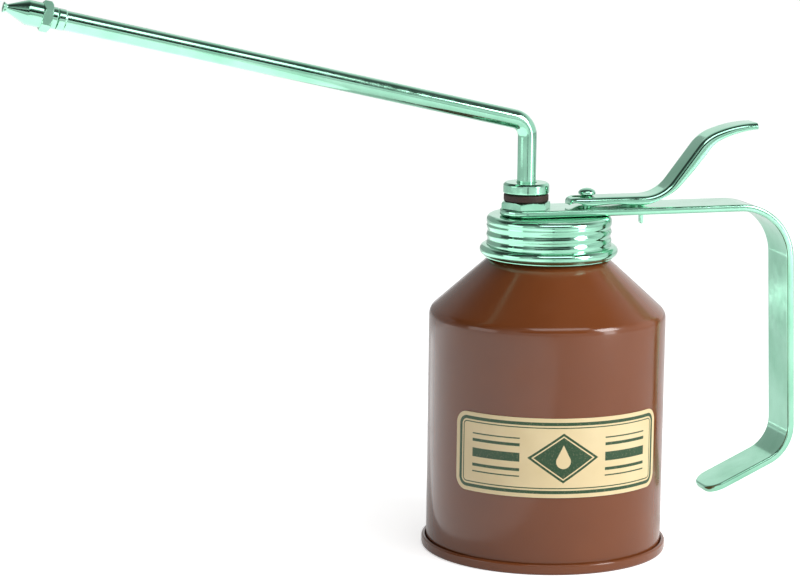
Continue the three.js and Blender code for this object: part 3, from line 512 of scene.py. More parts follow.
def per_mm(wavelength: float) -> float:
    """Scale of a pattern in metres whose features are this many millimetres apart."""
    return 1.0 / (wavelength * MM)


def bare_tree(owner: bpy.types.Material | bpy.types.World) -> Tree:
    """Node tree of a material or a world, emptied.

    Args:
        owner: the material or world.

    Returns:
        Its tree.
    """
    owner.use_nodes = True
    owner.node_tree.nodes.clear()
    return owner.node_tree


def add_node(tree: Tree, kind: str, feeds: dict | None = None, **settings: object) -> bpy.types.Node:
    """Adds one node with its settings, its fixed inputs and its links.

    Args:
        tree: tree that takes the node.
        kind: type name of the node.
        feeds: value or output socket for each input, by name or number.
        settings: properties of the node.

    Returns:
        The node.
    """
    node = tree.nodes.new(kind)
    for key, value in settings.items():
        setattr(node, key, value)
    for key, value in (feeds or {}).items():
        if isinstance(value, Socket):
            tree.links.new(value, node.inputs[key])
        else:
            node.inputs[key].default_value = value
    return node


@dataclass(frozen=True)
class Finish:
    """A finish whose patterns lie on Object coordinates and feed a principled surface."""

    name: str

    def make(self) -> bpy.types.Material:
        """Material of this finish.

        Returns:
            The material.
        """
        material = bpy.data.materials.new(self.name)
        tree = bare_tree(material)
        place = add_node(tree, "ShaderNodeTexCoord").outputs["Object"]
        surface = add_node(tree, "ShaderNodeBsdfPrincipled", self.inputs(tree, place))
        add_node(tree, "ShaderNodeOutputMaterial", {"Surface": surface.outputs["BSDF"]})
        return material

    def inputs(self, tree: Tree, place: Socket) -> dict[str, Socket | float]:
        """Inputs of the surface; each finish has its own.

        Args:
            tree: tree of the material.
            place: Object coordinates.

        Returns:
            Value or output socket of each input, by name.
        """
        raise NotImplementedError


@dataclass(frozen=True)
class BakedEnamel(Finish):
    """Stove enamel: deep brown under a hard gloss, with a faint orange peel that softens reflections."""

    light: str = "#7A4220"
    dark: str = "#6C391B"
    roughness: Pair = (0.11, 0.22)
    cloud_mm: float = 24.0
    smear_mm: float = 9.0
    smear_range: Pair = (0.35, 0.7)
    peel_mm: float = 1.7
    peel_depth_mm: float = 0.02
    peel_strength: float = 0.35

    def inputs(self, tree: Tree, place: Socket) -> dict[str, Socket | float]:
        """Clouds in the colour, smears in the gloss and a fine wave in the skin.

        Args:
            tree: tree of the material.
            place: Object coordinates.

        Returns:
            Value or output socket of each input, by name.
        """
        cloud, smear, peel = (
            add_node(tree, "ShaderNodeTexNoise",
                     {"Vector": place, "Scale": per_mm(size), "Detail": detail}).outputs[0]
            for size, detail in ((self.cloud_mm, 3.0), (self.smear_mm, 4.0), (self.peel_mm, 1.0)))
        colour = add_node(tree, "ShaderNodeMix", {0: cloud, 6: linear(self.dark), 7: linear(self.light)},
                          data_type="RGBA")
        gloss = add_node(tree, "ShaderNodeMapRange",
                         {0: smear, **dict(enumerate((*self.smear_range, *self.roughness), 1))})
        skin = add_node(tree, "ShaderNodeBump",
                        {"Strength": self.peel_strength, "Distance": self.peel_depth_mm * MM,
                         "Height": peel})
        return {"Base Color": colour.outputs[2], "Roughness": gloss.outputs[0], "Normal": skin.outputs[0]}


@dataclass(frozen=True)
class WorkedMetal(Finish):
    """Metal with cloudy tone, duller patches and fine marks that follow how it was worked."""

    light: str
    dark: str
    roughness: Pair
    grain: Grain
    cloud_mm: float = 13.0
    cloud_range: Pair = (0.3, 0.7)
    patch_mm: float = 4.0
    patch_range: Pair = (0.35, 0.7)
    mark_depth_mm: float = 0.004
    mark_strength: float = 0.3

    def inputs(self, tree: Tree, place: Socket) -> dict[str, Socket | float]:
        """Clouds in the tone, patches in the gloss and stretched noise for the marks.

        Args:
            tree: tree of the material.
            place: Object coordinates.

        Returns:
            Value or output socket of each input, by name.
        """
        spacing = [per_mm(size) for size in self.grain.value]
        stretched = add_node(tree, "ShaderNodeMapping", {"Vector": place, "Scale": spacing}).outputs[0]
        layers = ((place, per_mm(self.cloud_mm), 5.0), (place, per_mm(self.patch_mm), 3.0),
                  (stretched, 1.0, 2.0))
        cloud, patch, marks = (
            add_node(tree, "ShaderNodeTexNoise",
                     {"Vector": spot, "Scale": scale, "Detail": detail}).outputs[0]
            for spot, scale, detail in layers)
        tone = add_node(tree, "ShaderNodeMapRange", {0: cloud, **dict(enumerate(self.cloud_range, 1))})
        colour = add_node(tree, "ShaderNodeMix",
                          {0: tone.outputs[0], 6: linear(self.dark), 7: linear(self.light)},
                          data_type="RGBA")
        gloss = add_node(tree, "ShaderNodeMapRange",
                         {0: patch, **dict(enumerate((*self.patch_range, *self.roughness), 1))})
        skin = add_node(tree, "ShaderNodeBump",
                        {"Strength": self.mark_strength, "Distance": self.mark_depth_mm * MM,
                         "Height": marks})
        return {"Base Color": colour.outputs[2], "Metallic": 1.0, "Roughness": gloss.outputs[0],
                "Normal": skin.outputs[0]}


@dataclass(frozen=True)
class PrintedFilm(Finish):
    """Varnished cream paper with a green print: a double frame, a lozenge with a drop, and side rules.

    The print is in millimetres. A line or rule is the middle and the half width of its band, and the
    lozenge is its half width and half height, with a line at a share of both.
    """

    radius: float
    azimuth: float
    middle: float
    half_width: float
    half_height: float
    corner: float
    paper: str = "#E9D6AB"
    aged: str = "#DCC694"
    ink: str = "#1E4525"
    roughness: Pair = (0.42, 0.58)
    age_mm: float = 11.0
    fibre_mm: float = 0.5
    fibre_depth_mm: float = 0.01
    fibre_strength: float = 0.2
    ink_cover: Four = (0.2, 0.45, 0.82, 1.0)
    thick_line: Pair = (-1.9, 0.55)
    thin_line: Pair = (-3.2, 0.18)
    lozenge: Pair = (12.0, 8.4)
    lozenge_line: Pair = (0.86, 0.03)
    drop_low: float = 1.1
    drop_square: float = 6.0  # square of the drop's radius
    drop_tip: float = 4.4
    drop_taper: float = 0.49
    drop_waist: float = -0.1
    rule_reach: Pair = (23.2, 8.6)
    mid_rule: Pair = (0.0, 1.5)
    side_rule: Pair = (4.2, 0.5)
    far_rule: Pair = (6.4, 0.22)

    def inputs(self, tree: Tree, place: Socket) -> dict[str, Socket | float]:
        """Distance formulas on the flat label give the print; noise gives fibre, age and uneven ink.

        Args:
            tree: tree of the material.
            place: Object coordinates.

        Returns:
            Value or output socket of each input, by name.
        """
        axes = add_node(tree, "ShaderNodeSeparateXYZ", {0: place})
        made = {"x": axes.outputs[0], "y": axes.outputs[1], "z": axes.outputs[2]}
        for name, operation, *operands in self.artwork():
            feeds = {index: made.get(value, value) for index, value in enumerate(operands)}
            made[name] = add_node(tree, "ShaderNodeMath", feeds, operation=operation).outputs[0]
        age, fibre = (
            add_node(tree, "ShaderNodeTexNoise",
                     {"Vector": place, "Scale": per_mm(size), "Detail": detail}).outputs[0]
            for size, detail in ((self.age_mm, 6.0), (self.fibre_mm, 3.0)))
        ground = add_node(tree, "ShaderNodeMix", {0: age, 6: linear(self.paper), 7: linear(self.aged)},
                          data_type="RGBA")
        cover = add_node(tree, "ShaderNodeMapRange", {0: fibre, **dict(enumerate(self.ink_cover, 1))})
        share = add_node(tree, "ShaderNodeMath", {0: made["ink"], 1: cover.outputs[0]}, operation="MULTIPLY")
        colour = add_node(tree, "ShaderNodeMix",
                          {0: share.outputs[0], 6: ground.outputs[2], 7: linear(self.ink)}, data_type="RGBA")
        gloss = add_node(tree, "ShaderNodeMapRange", {0: fibre, **dict(enumerate(self.roughness, 3))})
        skin = add_node(tree, "ShaderNodeBump",
                        {"Strength": self.fibre_strength, "Distance": self.fibre_depth_mm * MM,
                         "Height": fibre})
        return {"Base Color": colour.outputs[2], "Roughness": gloss.outputs[0], "Normal": skin.outputs[0]}

    def artwork(self) -> list[tuple]:
        """Steps of the print as (result, operation, operands); the last result is the share of ink.

        The flat label has u = (atan2(y, x) - azimuth) r across and v = z - middle up, in millimetres.
        The frame is a band of the distance to a rounded box, length(max(q, 0)) + min(max(q), 0) - r with
        q = |p| - half + r. The lozenge is |u| / a + |v| / b - 1, the drop a circle under a wedge.

        Returns:
            The steps in order.
        """
        return [
            ("angle", "ARCTAN2", "y", "x"),
            ("offset", "SUBTRACT", "angle", math.radians(self.azimuth)),
            ("u", "MULTIPLY", "offset", self.radius),
            ("lift", "MULTIPLY", "z", 1.0 / MM),
            ("v", "SUBTRACT", "lift", self.middle),
            ("au", "ABSOLUTE", "u"),
            ("av", "ABSOLUTE", "v"),
            ("qu", "SUBTRACT", "au", self.half_width - self.corner),
            ("qv", "SUBTRACT", "av", self.half_height - self.corner),
            ("pu", "MAXIMUM", "qu", 0.0),
            ("pv", "MAXIMUM", "qv", 0.0),
            ("pu2", "MULTIPLY", "pu", "pu"),
            ("pp2", "MULTIPLY_ADD", "pv", "pv", "pu2"),
            ("outer", "SQRT", "pp2"),
            ("q", "MAXIMUM", "qu", "qv"),
            ("inner", "MINIMUM", "q", 0.0),
            ("boxed", "ADD", "outer", "inner"),
            ("edge", "SUBTRACT", "boxed", self.corner),
            ("thick", "COMPARE", "edge", *self.thick_line),
            ("thin", "COMPARE", "edge", *self.thin_line),
            ("slope_u", "DIVIDE", "au", self.lozenge[0]),
            ("slope_v", "DIVIDE", "av", self.lozenge[1]),
            ("slope", "ADD", "slope_u", "slope_v"),
            ("solid", "LESS_THAN", "slope", 1.0),
            ("line", "COMPARE", "slope", *self.lozenge_line),
            ("v_drop", "ADD", "v", self.drop_low),
            ("v_drop2", "MULTIPLY", "v_drop", "v_drop"),
            ("round2", "MULTIPLY_ADD", "u", "u", "v_drop2"),
            ("round", "LESS_THAN", "round2", self.drop_square),
            ("wedge_v", "SUBTRACT", self.drop_tip, "v"),
            ("wedge_w", "MULTIPLY", "wedge_v", self.drop_taper),
            ("wedge_d", "SUBTRACT", "wedge_w", "au"),
            ("wedge_in", "GREATER_THAN", "wedge_d", 0.0),
            ("wedge_up", "GREATER_THAN", "v", self.drop_waist),
            ("wedge", "MULTIPLY", "wedge_in", "wedge_up"),
            ("drop", "MAXIMUM", "round", "wedge"),
            ("clear", "MAXIMUM", "drop", "line"),
            ("open", "SUBTRACT", "solid", "clear"),
            ("motif", "MAXIMUM", "open", 0.0),
            ("band_u", "COMPARE", "au", *self.rule_reach),
            ("rule_mid", "COMPARE", "v", *self.mid_rule),
            ("rule_side", "COMPARE", "av", *self.side_rule),
            ("rule_far", "COMPARE", "av", *self.far_rule),
            ("rules_near", "MAXIMUM", "rule_mid", "rule_side"),
            ("rules_all", "MAXIMUM", "rules_near", "rule_far"),
            ("rules", "MULTIPLY", "rules_all", "band_u"),
            ("frame", "MAXIMUM", "thick", "thin"),
            ("signs", "MAXIMUM", "motif", "rules"),
            ("ink", "MAXIMUM", "frame", "signs"),
        ]


@dataclass(frozen=True)
class Grained(Finish):
    """Matt stuff of small cells: leather pores or cork granules, as cell size and tone say."""

    light: str
    dark: str
    cell_mm: float
    roughness: float
    depth_mm: float
    stain_mm: float = 5.0
    strength: float = 0.5

    def inputs(self, tree: Tree, place: Socket) -> dict[str, Socket | float]:
        """Cells tint the colour and raise the skin; noise breaks them up.

        Args:
            tree: tree of the material.
            place: Object coordinates.

        Returns:
            Value or output socket of each input, by name.
        """
        cells = add_node(tree, "ShaderNodeTexVoronoi",
                         {"Vector": place, "Scale": per_mm(self.cell_mm)}).outputs[0]
        stain = add_node(tree, "ShaderNodeTexNoise",
                         {"Vector": place, "Scale": per_mm(self.stain_mm), "Detail": 4.0})
        blend = add_node(tree, "ShaderNodeMath", {0: cells, 1: stain.outputs[0]}, operation="MULTIPLY")
        colour = add_node(tree, "ShaderNodeMix",
                          {0: blend.outputs[0], 6: linear(self.dark), 7: linear(self.light)},
                          data_type="RGBA")
        skin = add_node(tree, "ShaderNodeBump",
                        {"Strength": self.strength, "Distance": self.depth_mm * MM, "Height": cells})
        return {"Base Color": colour.outputs[2], "Roughness": self.roughness, "Normal": skin.outputs[0]}


class Workshop:
    """Makes each finish once and puts dressed pieces on their bodies."""

    def __init__(self, label: Finish) -> None:
        """Finishes of the record's slots, and the plating again with marks along a strap.

        Args:
            label: finish of the label, which knows where the label lies.
        """
        zinc_tones = ("#A8E0C6", "#8ECCAE", (0.07, 0.17))
        kinds = {
            # Paint baked on sheet steel: an even deep brown under a hard, wet gloss.
            Slot.ENAMEL: BakedEnamel("stove_enamel_brown"),
            # Zinc with a green passivation, on turned work: a pale green mirror with fine rings.
            Slot.PLATING: WorkedMetal("zinc_plate_turned", *zinc_tones, Grain.AROUND),
            # Printed paper under varnish: warm cream with a soft sheen and a slightly worn ink.
            Slot.LABEL: label,
            # Leather soaked in oil: nearly black, dull, with fine pores.
            Slot.LEATHER: Grained("oiled_leather", "#4E2412", "#150C08", 0.5, 0.62, 0.05),
            # Cork bonded with rubber: matt brown with dark granules.
            Slot.CORK: Grained("cork_rubber", "#8A6A48", "#3C2C20", 0.9, 0.85, 0.08),
            # Brass from the lathe: warm yellow with a satin shine and fine rings.
            Slot.BRASS: WorkedMetal("turned_brass", "#C9A24E", "#A9822F", (0.2, 0.34), Grain.AROUND),
            # Steel from the lathe: neutral grey with a satin shine and fine rings.
            Slot.STEEL: WorkedMetal("machined_steel", "#B4B4B0", "#8F908E", (0.22, 0.38), Grain.AROUND),
        }
        self.finishes = {slot: finish.make() for slot, finish in kinds.items()}
        # The same zinc on rolled strip: the marks run along the strip.
        self.strap_plating = WorkedMetal("zinc_plate_rolled", *zinc_tones, Grain.ALONG).make()

    def place(self, piece: bpy.types.Object, body: Body, slot: Slot, node: str, rolled: bool = False) -> None:
        """Dresses a piece, puts it on its body and lets it stand for its solid.

        Args:
            piece: the piece.
            body: body that carries it.
            slot: material slot of the record.
            node: solid that it stands for.
            rolled: whether its plating has marks along the strap.
        """
        piece.data.materials.clear()
        piece.data.materials.append(self.strap_plating if rolled else self.finishes[slot])
        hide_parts(node)
        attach(piece, body.value)
        LOG.info("%s on %s: %d faces", piece.name, body.value, len(piece.data.polygons))

    def dress_solids(self, slots: dict[Slot, Sequence[str]]) -> None:
        """Gives solids that stay in view the finish of their slot.

        Args:
            slots: names of the solids by slot.
        """
        for slot, names in slots.items():
            for name in names:
                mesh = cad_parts[name].data
                mesh.materials.clear()
                mesh.materials.append(self.finishes[slot])
                LOG.info("%s keeps its solid in %s", name, slot.value)


@dataclass
class CanBody:
    """Painted can with its rolled base seam and label."""

    radius: float = 40.0
    wall: float = 0.7
    foot: float = 0.9
    shoulder: float = 81.8
    slope: float = 1.108
    fillet: float = 4.0
    mouth: float = 19.65
    seam_radius: float = 41.6
    seam_top: float = 3.6
    seam_inside: float = 38.4
    seam_slot: float = 40.3
    base_sheet: float = 0.6
    panel_step: Pair = (30.0, 31.0)
    panel_levels: Pair = (1.2, 2.2)
    label_radius: float = 40.15
    label_thickness: float = 0.25
    label_edge: float = 0.08
    label_step: float = 0.8
    label_width: float = 77.5
    label_height: float = 26.7
    label_middle: float = 39.45
    label_corner: float = 4.5
    label_azimuth: float = -100.65

    @property
    def slant(self) -> float:
        """Length of the cone's normal (1, slope), which turns a wall into a drop of radius."""
        return math.hypot(1.0, self.slope)

    def cone_height(self, radius: float, under: float = 0.0) -> float:
        """Height of the cone at a radius, or of a cone that lies a distance under it."""
        return self.shoulder + (self.radius - under * self.slant - radius) / self.slope

    def film(self) -> PrintedFilm:
        """Finish of the label, laid out on its place on the can."""
        return PrintedFilm("printed_label_film", self.label_radius + self.label_thickness, self.label_azimuth,
                           self.label_middle, self.label_width / 2, self.label_height / 2, self.label_corner)

    def build(self, shop: Workshop) -> None:
        """Builds the can, its base and the label.

        Args:
            shop: dresses and places the pieces.
        """
        shop.place(assemble("painted_can", self.shell()), Body.CAN, Slot.ENAMEL, "can_shell")
        shop.place(assemble("rolled_base", self.base()), Body.CAN, Slot.ENAMEL, "base_panel")
        shop.place(assemble("front_label", self.label()), Body.CAN, Slot.LABEL, "label")

    def shell(self) -> Surface:
        """Wall, rounded shoulder and cone of one sheet: the outline and its inner twin, turned.

        Returns:
            The surface.
        """
        inside = self.radius - self.wall
        return turned(rounded([
            (self.radius, self.foot, 0.1), (self.radius, self.shoulder, self.fillet),
            (self.mouth, self.cone_height(self.mouth), 0.2),
            (self.mouth, self.cone_height(self.mouth, self.wall), 0.2),
            (inside, self.cone_height(inside, self.wall), self.fillet - self.wall),
            (inside, self.foot, 0.1)], longest=3.0))

    def base(self) -> Surface:
        """Sunk base panel and the rolled seam round the foot: (radius, height, rounding) rows, turned.

        Returns:
            The surface.
        """
        (near, far), (low, high), sheet = self.panel_step, self.panel_levels, self.base_sheet
        return turned(rounded([
            (0.0, low, 0.0), (near, low, 0.8), (far, high, 0.8), (self.seam_inside, high, 0.4),
            (self.seam_inside, 0.0, 0.5), (self.seam_radius, 0.0, 1.15),
            (self.seam_radius, self.seam_top, 0.75), (self.seam_slot, self.seam_top, 0.4),
            (self.seam_slot, sheet, 0.2), (self.seam_inside + sheet, sheet, 0.2),
            (self.seam_inside + sheet, high + sheet, 0.2), (far, high + sheet, 0.5),
            (near, low + sheet, 0.5), (0.0, low + sheet, 0.0)], longest=3.0))

    def label(self) -> Surface:
        """Label film with round corners, wrapped on the wall: angle = azimuth + s / radius.

        Returns:
            The surface.
        """
        azimuth, face = math.radians(self.label_azimuth), self.label_radius + self.label_thickness

        def wrap(s: Array, y: Array, depth: float) -> Array:
            """Points on the wall from places across and up the label and a depth into it."""
            angle, reach = azimuth + s / self.label_radius, face - depth
            return np.stack([reach * np.cos(angle), reach * np.sin(angle), self.label_middle + y], axis=-1)
        half, corners = self.label_width / 2, (self.label_corner, self.label_corner)
        outline = tablet((-half, half), self.label_height / 2, corners, self.label_step)
        return plate(wrap, outline, self.label_thickness, self.label_edge)


@dataclass
class NeckAndCap:
    """Threaded neck, gasket and the pressed cap that screws over it."""

    can: CanBody
    bore: float = 18.4
    minor: float = 19.35
    depth: float = 0.8
    pitch: float = 3.0
    phase: float = 100.166
    thread: Pair = (100.47, 110.77)
    neck_top: float = 112.07
    foot_flare: float = 5.0
    foot_gap: float = 0.3
    fade: float = 1.2
    gasket: Four = (18.4, 19.5, 112.17, 113.57)
    sheet: float = 0.6
    crest: float = 21.1
    groove: float = 0.42
    cap_top: float = 114.27
    cap_edge: float = 1.6
    edge_steps: int = 10
    flat_shares: Triple = (0.9, 0.5, 0.0)
    cap_thread: Pair = (104.3, 112.07)
    thread_rows: int = 70
    bead: Triple = (21.5, 102.5, 1.8)
    bead_sweep: float = 65.0
    bead_steps: int = 25
    lip: float = 100.27
    lip_rows: tuple[Pair, Pair] = ((0.7, 0.0), (0.75, 0.25))
    lip_inside: float = 0.1
    drill_reach: float = 4.0
    rod_hole: float = 3.0

    def build(self, shop: Workshop) -> None:
        """Builds the neck, the gasket and the cap.

        Args:
            shop: dresses and places the pieces.
        """
        shop.place(assemble("threaded_neck", self.neck()), Body.CAN, Slot.PLATING, "neck_ring")
        gasket = assemble("cork_gasket", washer_ring(self.gasket, 0.2, 0.2))
        shop.place(gasket, Body.GASKET, Slot.CORK, "cap_gasket")
        cap = assemble("pressed_cap", self.cap())
        low, high = self.cap_top - self.drill_reach, self.cap_top + self.drill_reach
        carve(cap, [drill(STUD_HOLE, low, high, STUD_X), drill(self.rod_hole, low, high, ROD_X)])
        shop.place(cap, Body.HEAD, Slot.PLATING, "screw_cap")

    def wave(self, heights: Array, span: Pair, columns: int) -> tuple[Array, Array]:
        """Round thread and how much of it there is: 0.5 + 0.5 cos(2 pi (z - phase) / pitch - a).

        Args:
            heights: height of each row.
            span: ends of the thread, over which it fades in and out.
            columns: points round the axis.

        Returns:
            The wave, rows by columns, and its share, rows by 1.
        """
        turn = math.tau * (heights[:, None] - self.phase) / self.pitch - ring_angles(columns)
        near = np.minimum(heights - span[0], span[1] - heights)
        return 0.5 + 0.5 * np.cos(turn), np.clip(near / self.fade, 0.0, 1.0)[:, None]

    def neck(self) -> Surface:
        """Neck with a flared foot under the cone and a rolled thread: r = minor + depth * share * wave.

        Returns:
            The surface.
        """
        sheet, foot = self.minor - self.bore, self.minor + self.foot_flare
        under = self.can.wall + self.foot_gap
        foot_z, lean = self.can.cone_height(foot, under), sheet / self.can.slant
        outline = rounded([
            (foot, foot_z, 0.2), (self.minor, self.can.cone_height(self.minor, under), 1.0),
            (self.minor, self.neck_top, 0.3), (self.bore, self.neck_top, 0.3),
            (self.bore, self.can.cone_height(self.bore, under + sheet), 1.0),
            (foot - lean, foot_z - lean * self.can.slope, 0.2)], longest=0.2)
        wave, share = self.wave(outline[:, 1], self.thread, COLUMNS)
        outside = outline[:, :1] > 0.5 * (self.minor + self.bore)
        return turned(outline, radii=outline[:, :1] + np.where(outside, self.depth * share * wave, 0.0))

    def cap(self) -> Surface:
        """Pressed cap of one sheet with lip, bead, rolled thread and round edge, turned.

        The thread is r = crest - depth * share * (1 - wave). The inner side is one sheet further in and has
        the whole depth, and the outer side shows it as shallower grooves.

        Returns:
            The surface.
        """
        lip = np.array(self.lip_rows) + (self.crest, self.lip)
        sweep = np.radians(np.linspace(-self.bead_sweep, self.bead_sweep, self.bead_steps))
        bead = arc(self.bead[:2], self.bead[2], sweep)
        rows = np.linspace(*self.cap_thread, self.thread_rows)
        wall = np.stack([np.full(len(rows), self.crest), rows], axis=-1)
        edge_r, edge_z = self.crest - self.cap_edge, self.cap_top - self.cap_edge
        edge = arc((edge_r, edge_z), self.cap_edge, quarter_turn(self.edge_steps))
        flat = np.array([[share * edge_r, self.cap_top] for share in self.flat_shares])
        face = np.concatenate([lip, bead, wall, edge, flat])
        along = np.gradient(face, axis=0)
        inward = np.stack([-along[:, 1], along[:, 0]], axis=-1)
        back = face + self.sheet * inward / np.linalg.norm(inward, axis=1, keepdims=True)
        back[:len(lip)] = np.stack([np.full(len(lip), self.crest + self.lip_inside), lip[:, 1]], axis=-1)
        back[-len(flat):] = flat - (0.0, self.sheet)
        outline = np.concatenate([face, back[::-1]])
        heights = np.concatenate([face[:, 1], face[::-1, 1]])
        wave, share = self.wave(heights, self.cap_thread, COLUMNS)
        deep = np.where(np.arange(len(outline)) < len(face), self.groove, self.depth)[:, None]
        return turned(outline, radii=outline[:, :1] - deep * share * (1.0 - wave))


@dataclass
class StrapHandle:
    """Bent flat strap that the nut clamps on the cap."""

    half: float = 8.75
    thickness: float = 2.4
    edge: float = 0.75
    top: float = 116.77
    top_run: float = 74.8
    bend_radius: float = 20.0
    bend_turn: float = -87.8
    grip_run: float = 58.4
    low_radius: float = 14.4
    low_turn: float = -67.5
    tail_run: float = 24.0
    tip_corner: float = 6.0
    rod_hole: float = 1.9
    drill_reach: float = 2.0
    tang_slot: Pair = (30.6, 34.2)
    tang_slot_half: float = 1.3
    tang_slot_corners: Pair = (0.4, 0.4)

    def track(self) -> Track:
        """Path of the outer face from the round end to the tip of the tail."""
        legs = ((self.half + self.top_run, 0.0),
                (self.bend_radius * math.radians(-self.bend_turn), self.bend_turn), (self.grip_run, 0.0),
                (self.low_radius * math.radians(-self.low_turn), self.low_turn), (self.tail_run, 0.0))
        return Track((STUD_X - self.half, self.top), 0.0, legs)

    def build(self, shop: Workshop) -> None:
        """Builds the strap with its holes and the slot of the lever.

        Args:
            shop: dresses and places the piece.
        """
        track = self.track()
        outline = tablet((0.0, track.length), self.half, (self.half, self.tip_corner))
        strap = assemble("bent_strap", plate(track.bend, outline, self.thickness, self.edge))
        low, high = self.top - self.thickness - self.drill_reach, self.top + self.drill_reach
        carve(strap, [drill(STUD_HOLE, low, high, STUD_X), drill(self.rod_hole, low, high, ROD_X),
                      slot_cutter(self.tang_slot, self.tang_slot_half, self.tang_slot_corners, low, high)])
        shop.place(strap, Body.HEAD, Slot.PLATING, "handle_strap", rolled=True)


@dataclass
class SpoutSet:
    """Nut, washer, collar, bent tube and turned nozzle."""

    nut_flats: float = 15.0
    nut: Pair = (116.87, 119.27)
    nut_chamfer: Pair = (0.1, 0.55)
    washer: Four = (STUD_HOLE, 7.55, 119.37, 121.67)
    washer_rounds: Pair = (0.2, 0.45)
    collar_radius: float = 7.75
    collar: Pair = (121.77, 125.57)
    collar_chamfers: Pair = (0.5, 0.7)
    collar_roof: float = 1.1
    collar_gap: float = 0.3
    tube_radius: float = 3.175
    tube_bore: float = 2.2
    tube_foot: float = 123.17
    flange: Pair = (4.5, 1.2)
    corner: float = 145.97
    elbow: float = 6.0
    slope: float = 12.97
    tube_end: float = 162.9
    end_bead: Triple = (0.25, 2.6, 2.2)
    nozzle_flats: float = 8.7
    nozzle_turn: float = 30.0
    nozzle_bore: float = 0.6
    nozzle_shank: Pair = (1.9, 6.0)
    nozzle_neck: Pair = (3.5, 0.3)
    nozzle_hexagon: Pair = (2.2, 5.3)
    nozzle_face: float = 4.45
    nozzle_corner: float = 5.03
    nozzle_chamfer: float = 0.4
    nozzle_body: Pair = (4.0, 9.9)
    nozzle_throat: Pair = (1.15, 16.5)
    nozzle_tip: Pair = (1.7, 17.7)
    nozzle_rim: float = 0.2

    def track(self) -> Track:
        """Middle line of the tube: up, through the elbow and along the sloping run.

        Returns:
            The path.
        """
        turn = 90.0 - self.slope
        tangent = self.elbow * math.tan(math.radians(turn) / 2)
        return Track((STUD_X, self.tube_foot), 90.0,
                     ((self.corner - tangent - self.tube_foot, 0.0), (self.elbow * math.radians(turn), turn),
                      (self.tube_end - tangent, 0.0)))

    def build(self, shop: Workshop) -> None:
        """Builds the nut, the washer and the parts of the spout.

        Args:
            shop: dresses and places the pieces.
        """
        shop.place(assemble("thin_nut", self.thin_nut()), Body.HEAD, Slot.PLATING, "clamp_nut")
        washer = assemble("leather_washer", washer_ring(self.washer, *self.washer_rounds, STUD_X))
        shop.place(washer, Body.HEAD, Slot.LEATHER, "spout_washer")
        shop.place(assemble("turned_collar", self.turned_collar()), Body.SPOUT, Slot.PLATING, "spout_collar")
        shop.place(assemble("bent_tube", self.tube()), Body.SPOUT, Slot.PLATING, "spout_tube")
        shop.place(assemble("turned_nozzle", self.nozzle()), Body.SPOUT, Slot.PLATING, "nozzle")

    def thin_nut(self) -> Surface:
        """Hexagon nut whose corners are turned off: a chamfered outline cut down to the hexagon.

        Returns:
            The surface.
        """
        (low, high), (inward, down) = self.nut, self.nut_chamfer
        tall, inscribed = self.nut_flats / math.sqrt(3.0), self.nut_flats / 2
        outline = rounded([
            (STUD_HOLE, low, 0.15), (tall, low, 0.0), (tall, high - down, 0.0),
            (inscribed - inward, high, 0.15), (STUD_HOLE, high, 0.2)], longest=0.3)
        flagged = np.column_stack([outline, np.ones(len(outline))])
        return turned(outline, HEX_COLUMNS, STUD_X, six_sided(flagged, self.nut_flats, HEX_COLUMNS, 0.0))

    def turned_collar(self) -> Surface:
        """Cup-shaped collar with chamfered rims over the foot of the tube, turned.

        Returns:
            The surface.
        """
        (low, high), (low_rim, high_rim), wide = self.collar, self.collar_chamfers, self.collar_radius
        under, neck = high - self.collar_roof, self.tube_radius + self.collar_gap
        return turned(rounded([
            (STUD_HOLE, low, 0.1), (wide - low_rim, low, 0.15), (wide, low + low_rim, 0.2),
            (wide, high - high_rim, 0.25), (wide - high_rim, high, 0.25), (neck, high, 0.15),
            (neck, under, 0.1), (STUD_HOLE, under, 0.1)], longest=0.6), x=STUD_X)

    def tube(self) -> Surface:
        """Tube with a foot flange and a beaded end, rings carried along its middle line.

        Returns:
            The surface.
        """
        track, (foot, tall), (proud, start, full) = self.track(), self.flange, self.end_bead
        length, radius = track.length, self.tube_radius
        return carried(track, rounded([
            (self.tube_bore, 0.0, 0.2), (foot, 0.0, 0.2), (foot, tall, 0.2), (radius, tall, 0.3),
            (radius, length - start, 0.5), (radius + proud, length - full, 0.3),
            (radius + proud, length, 0.3), (self.tube_bore, length, 0.2)], longest=0.5))

    def nozzle(self) -> Surface:
        """Nozzle turned from hexagon bar: shank, neck, hexagon, body, cone and flared tip, with its bore.

        Its rows are (radius, distance past the tube, rounding).

        Returns:
            The surface.
        """
        track, bore, (first, last) = self.track(), self.nozzle_bore, self.nozzle_hexagon
        (shank, sunk), (neck, gap), (body, cone) = self.nozzle_shank, self.nozzle_neck, self.nozzle_body
        (throat, narrow), (tip, end) = self.nozzle_throat, self.nozzle_tip
        face, corner, chamfer = self.nozzle_face, self.nozzle_corner, self.nozzle_chamfer
        outline = rounded([
            (bore, -sunk, 0.1), (shank, -sunk, 0.3), (shank, gap, 0.1), (neck, gap, 0.25), (neck, first, 0.1),
            (face, first, 0.0), (corner, first + chamfer, 0.0), (corner, last - chamfer, 0.0),
            (face, last, 0.0), (body, last, 0.1), (body, cone, 0.9), (throat, narrow, 0.5),
            (tip, end - self.nozzle_rim, 0.15), (tip, end, 0.1), (bore, end, 0.1)], longest=0.4)
        reach, along = outline.T
        on_hexagon = (along > first - NEAR) & (along < last + NEAR) & (reach > body + NEAR)
        flagged = np.column_stack([outline, on_hexagon])
        radii = six_sided(flagged, self.nozzle_flats, NOZZLE_COLUMNS, self.nozzle_turn)
        return carried(track, outline + (0.0, track.length), NOZZLE_COLUMNS, radii)


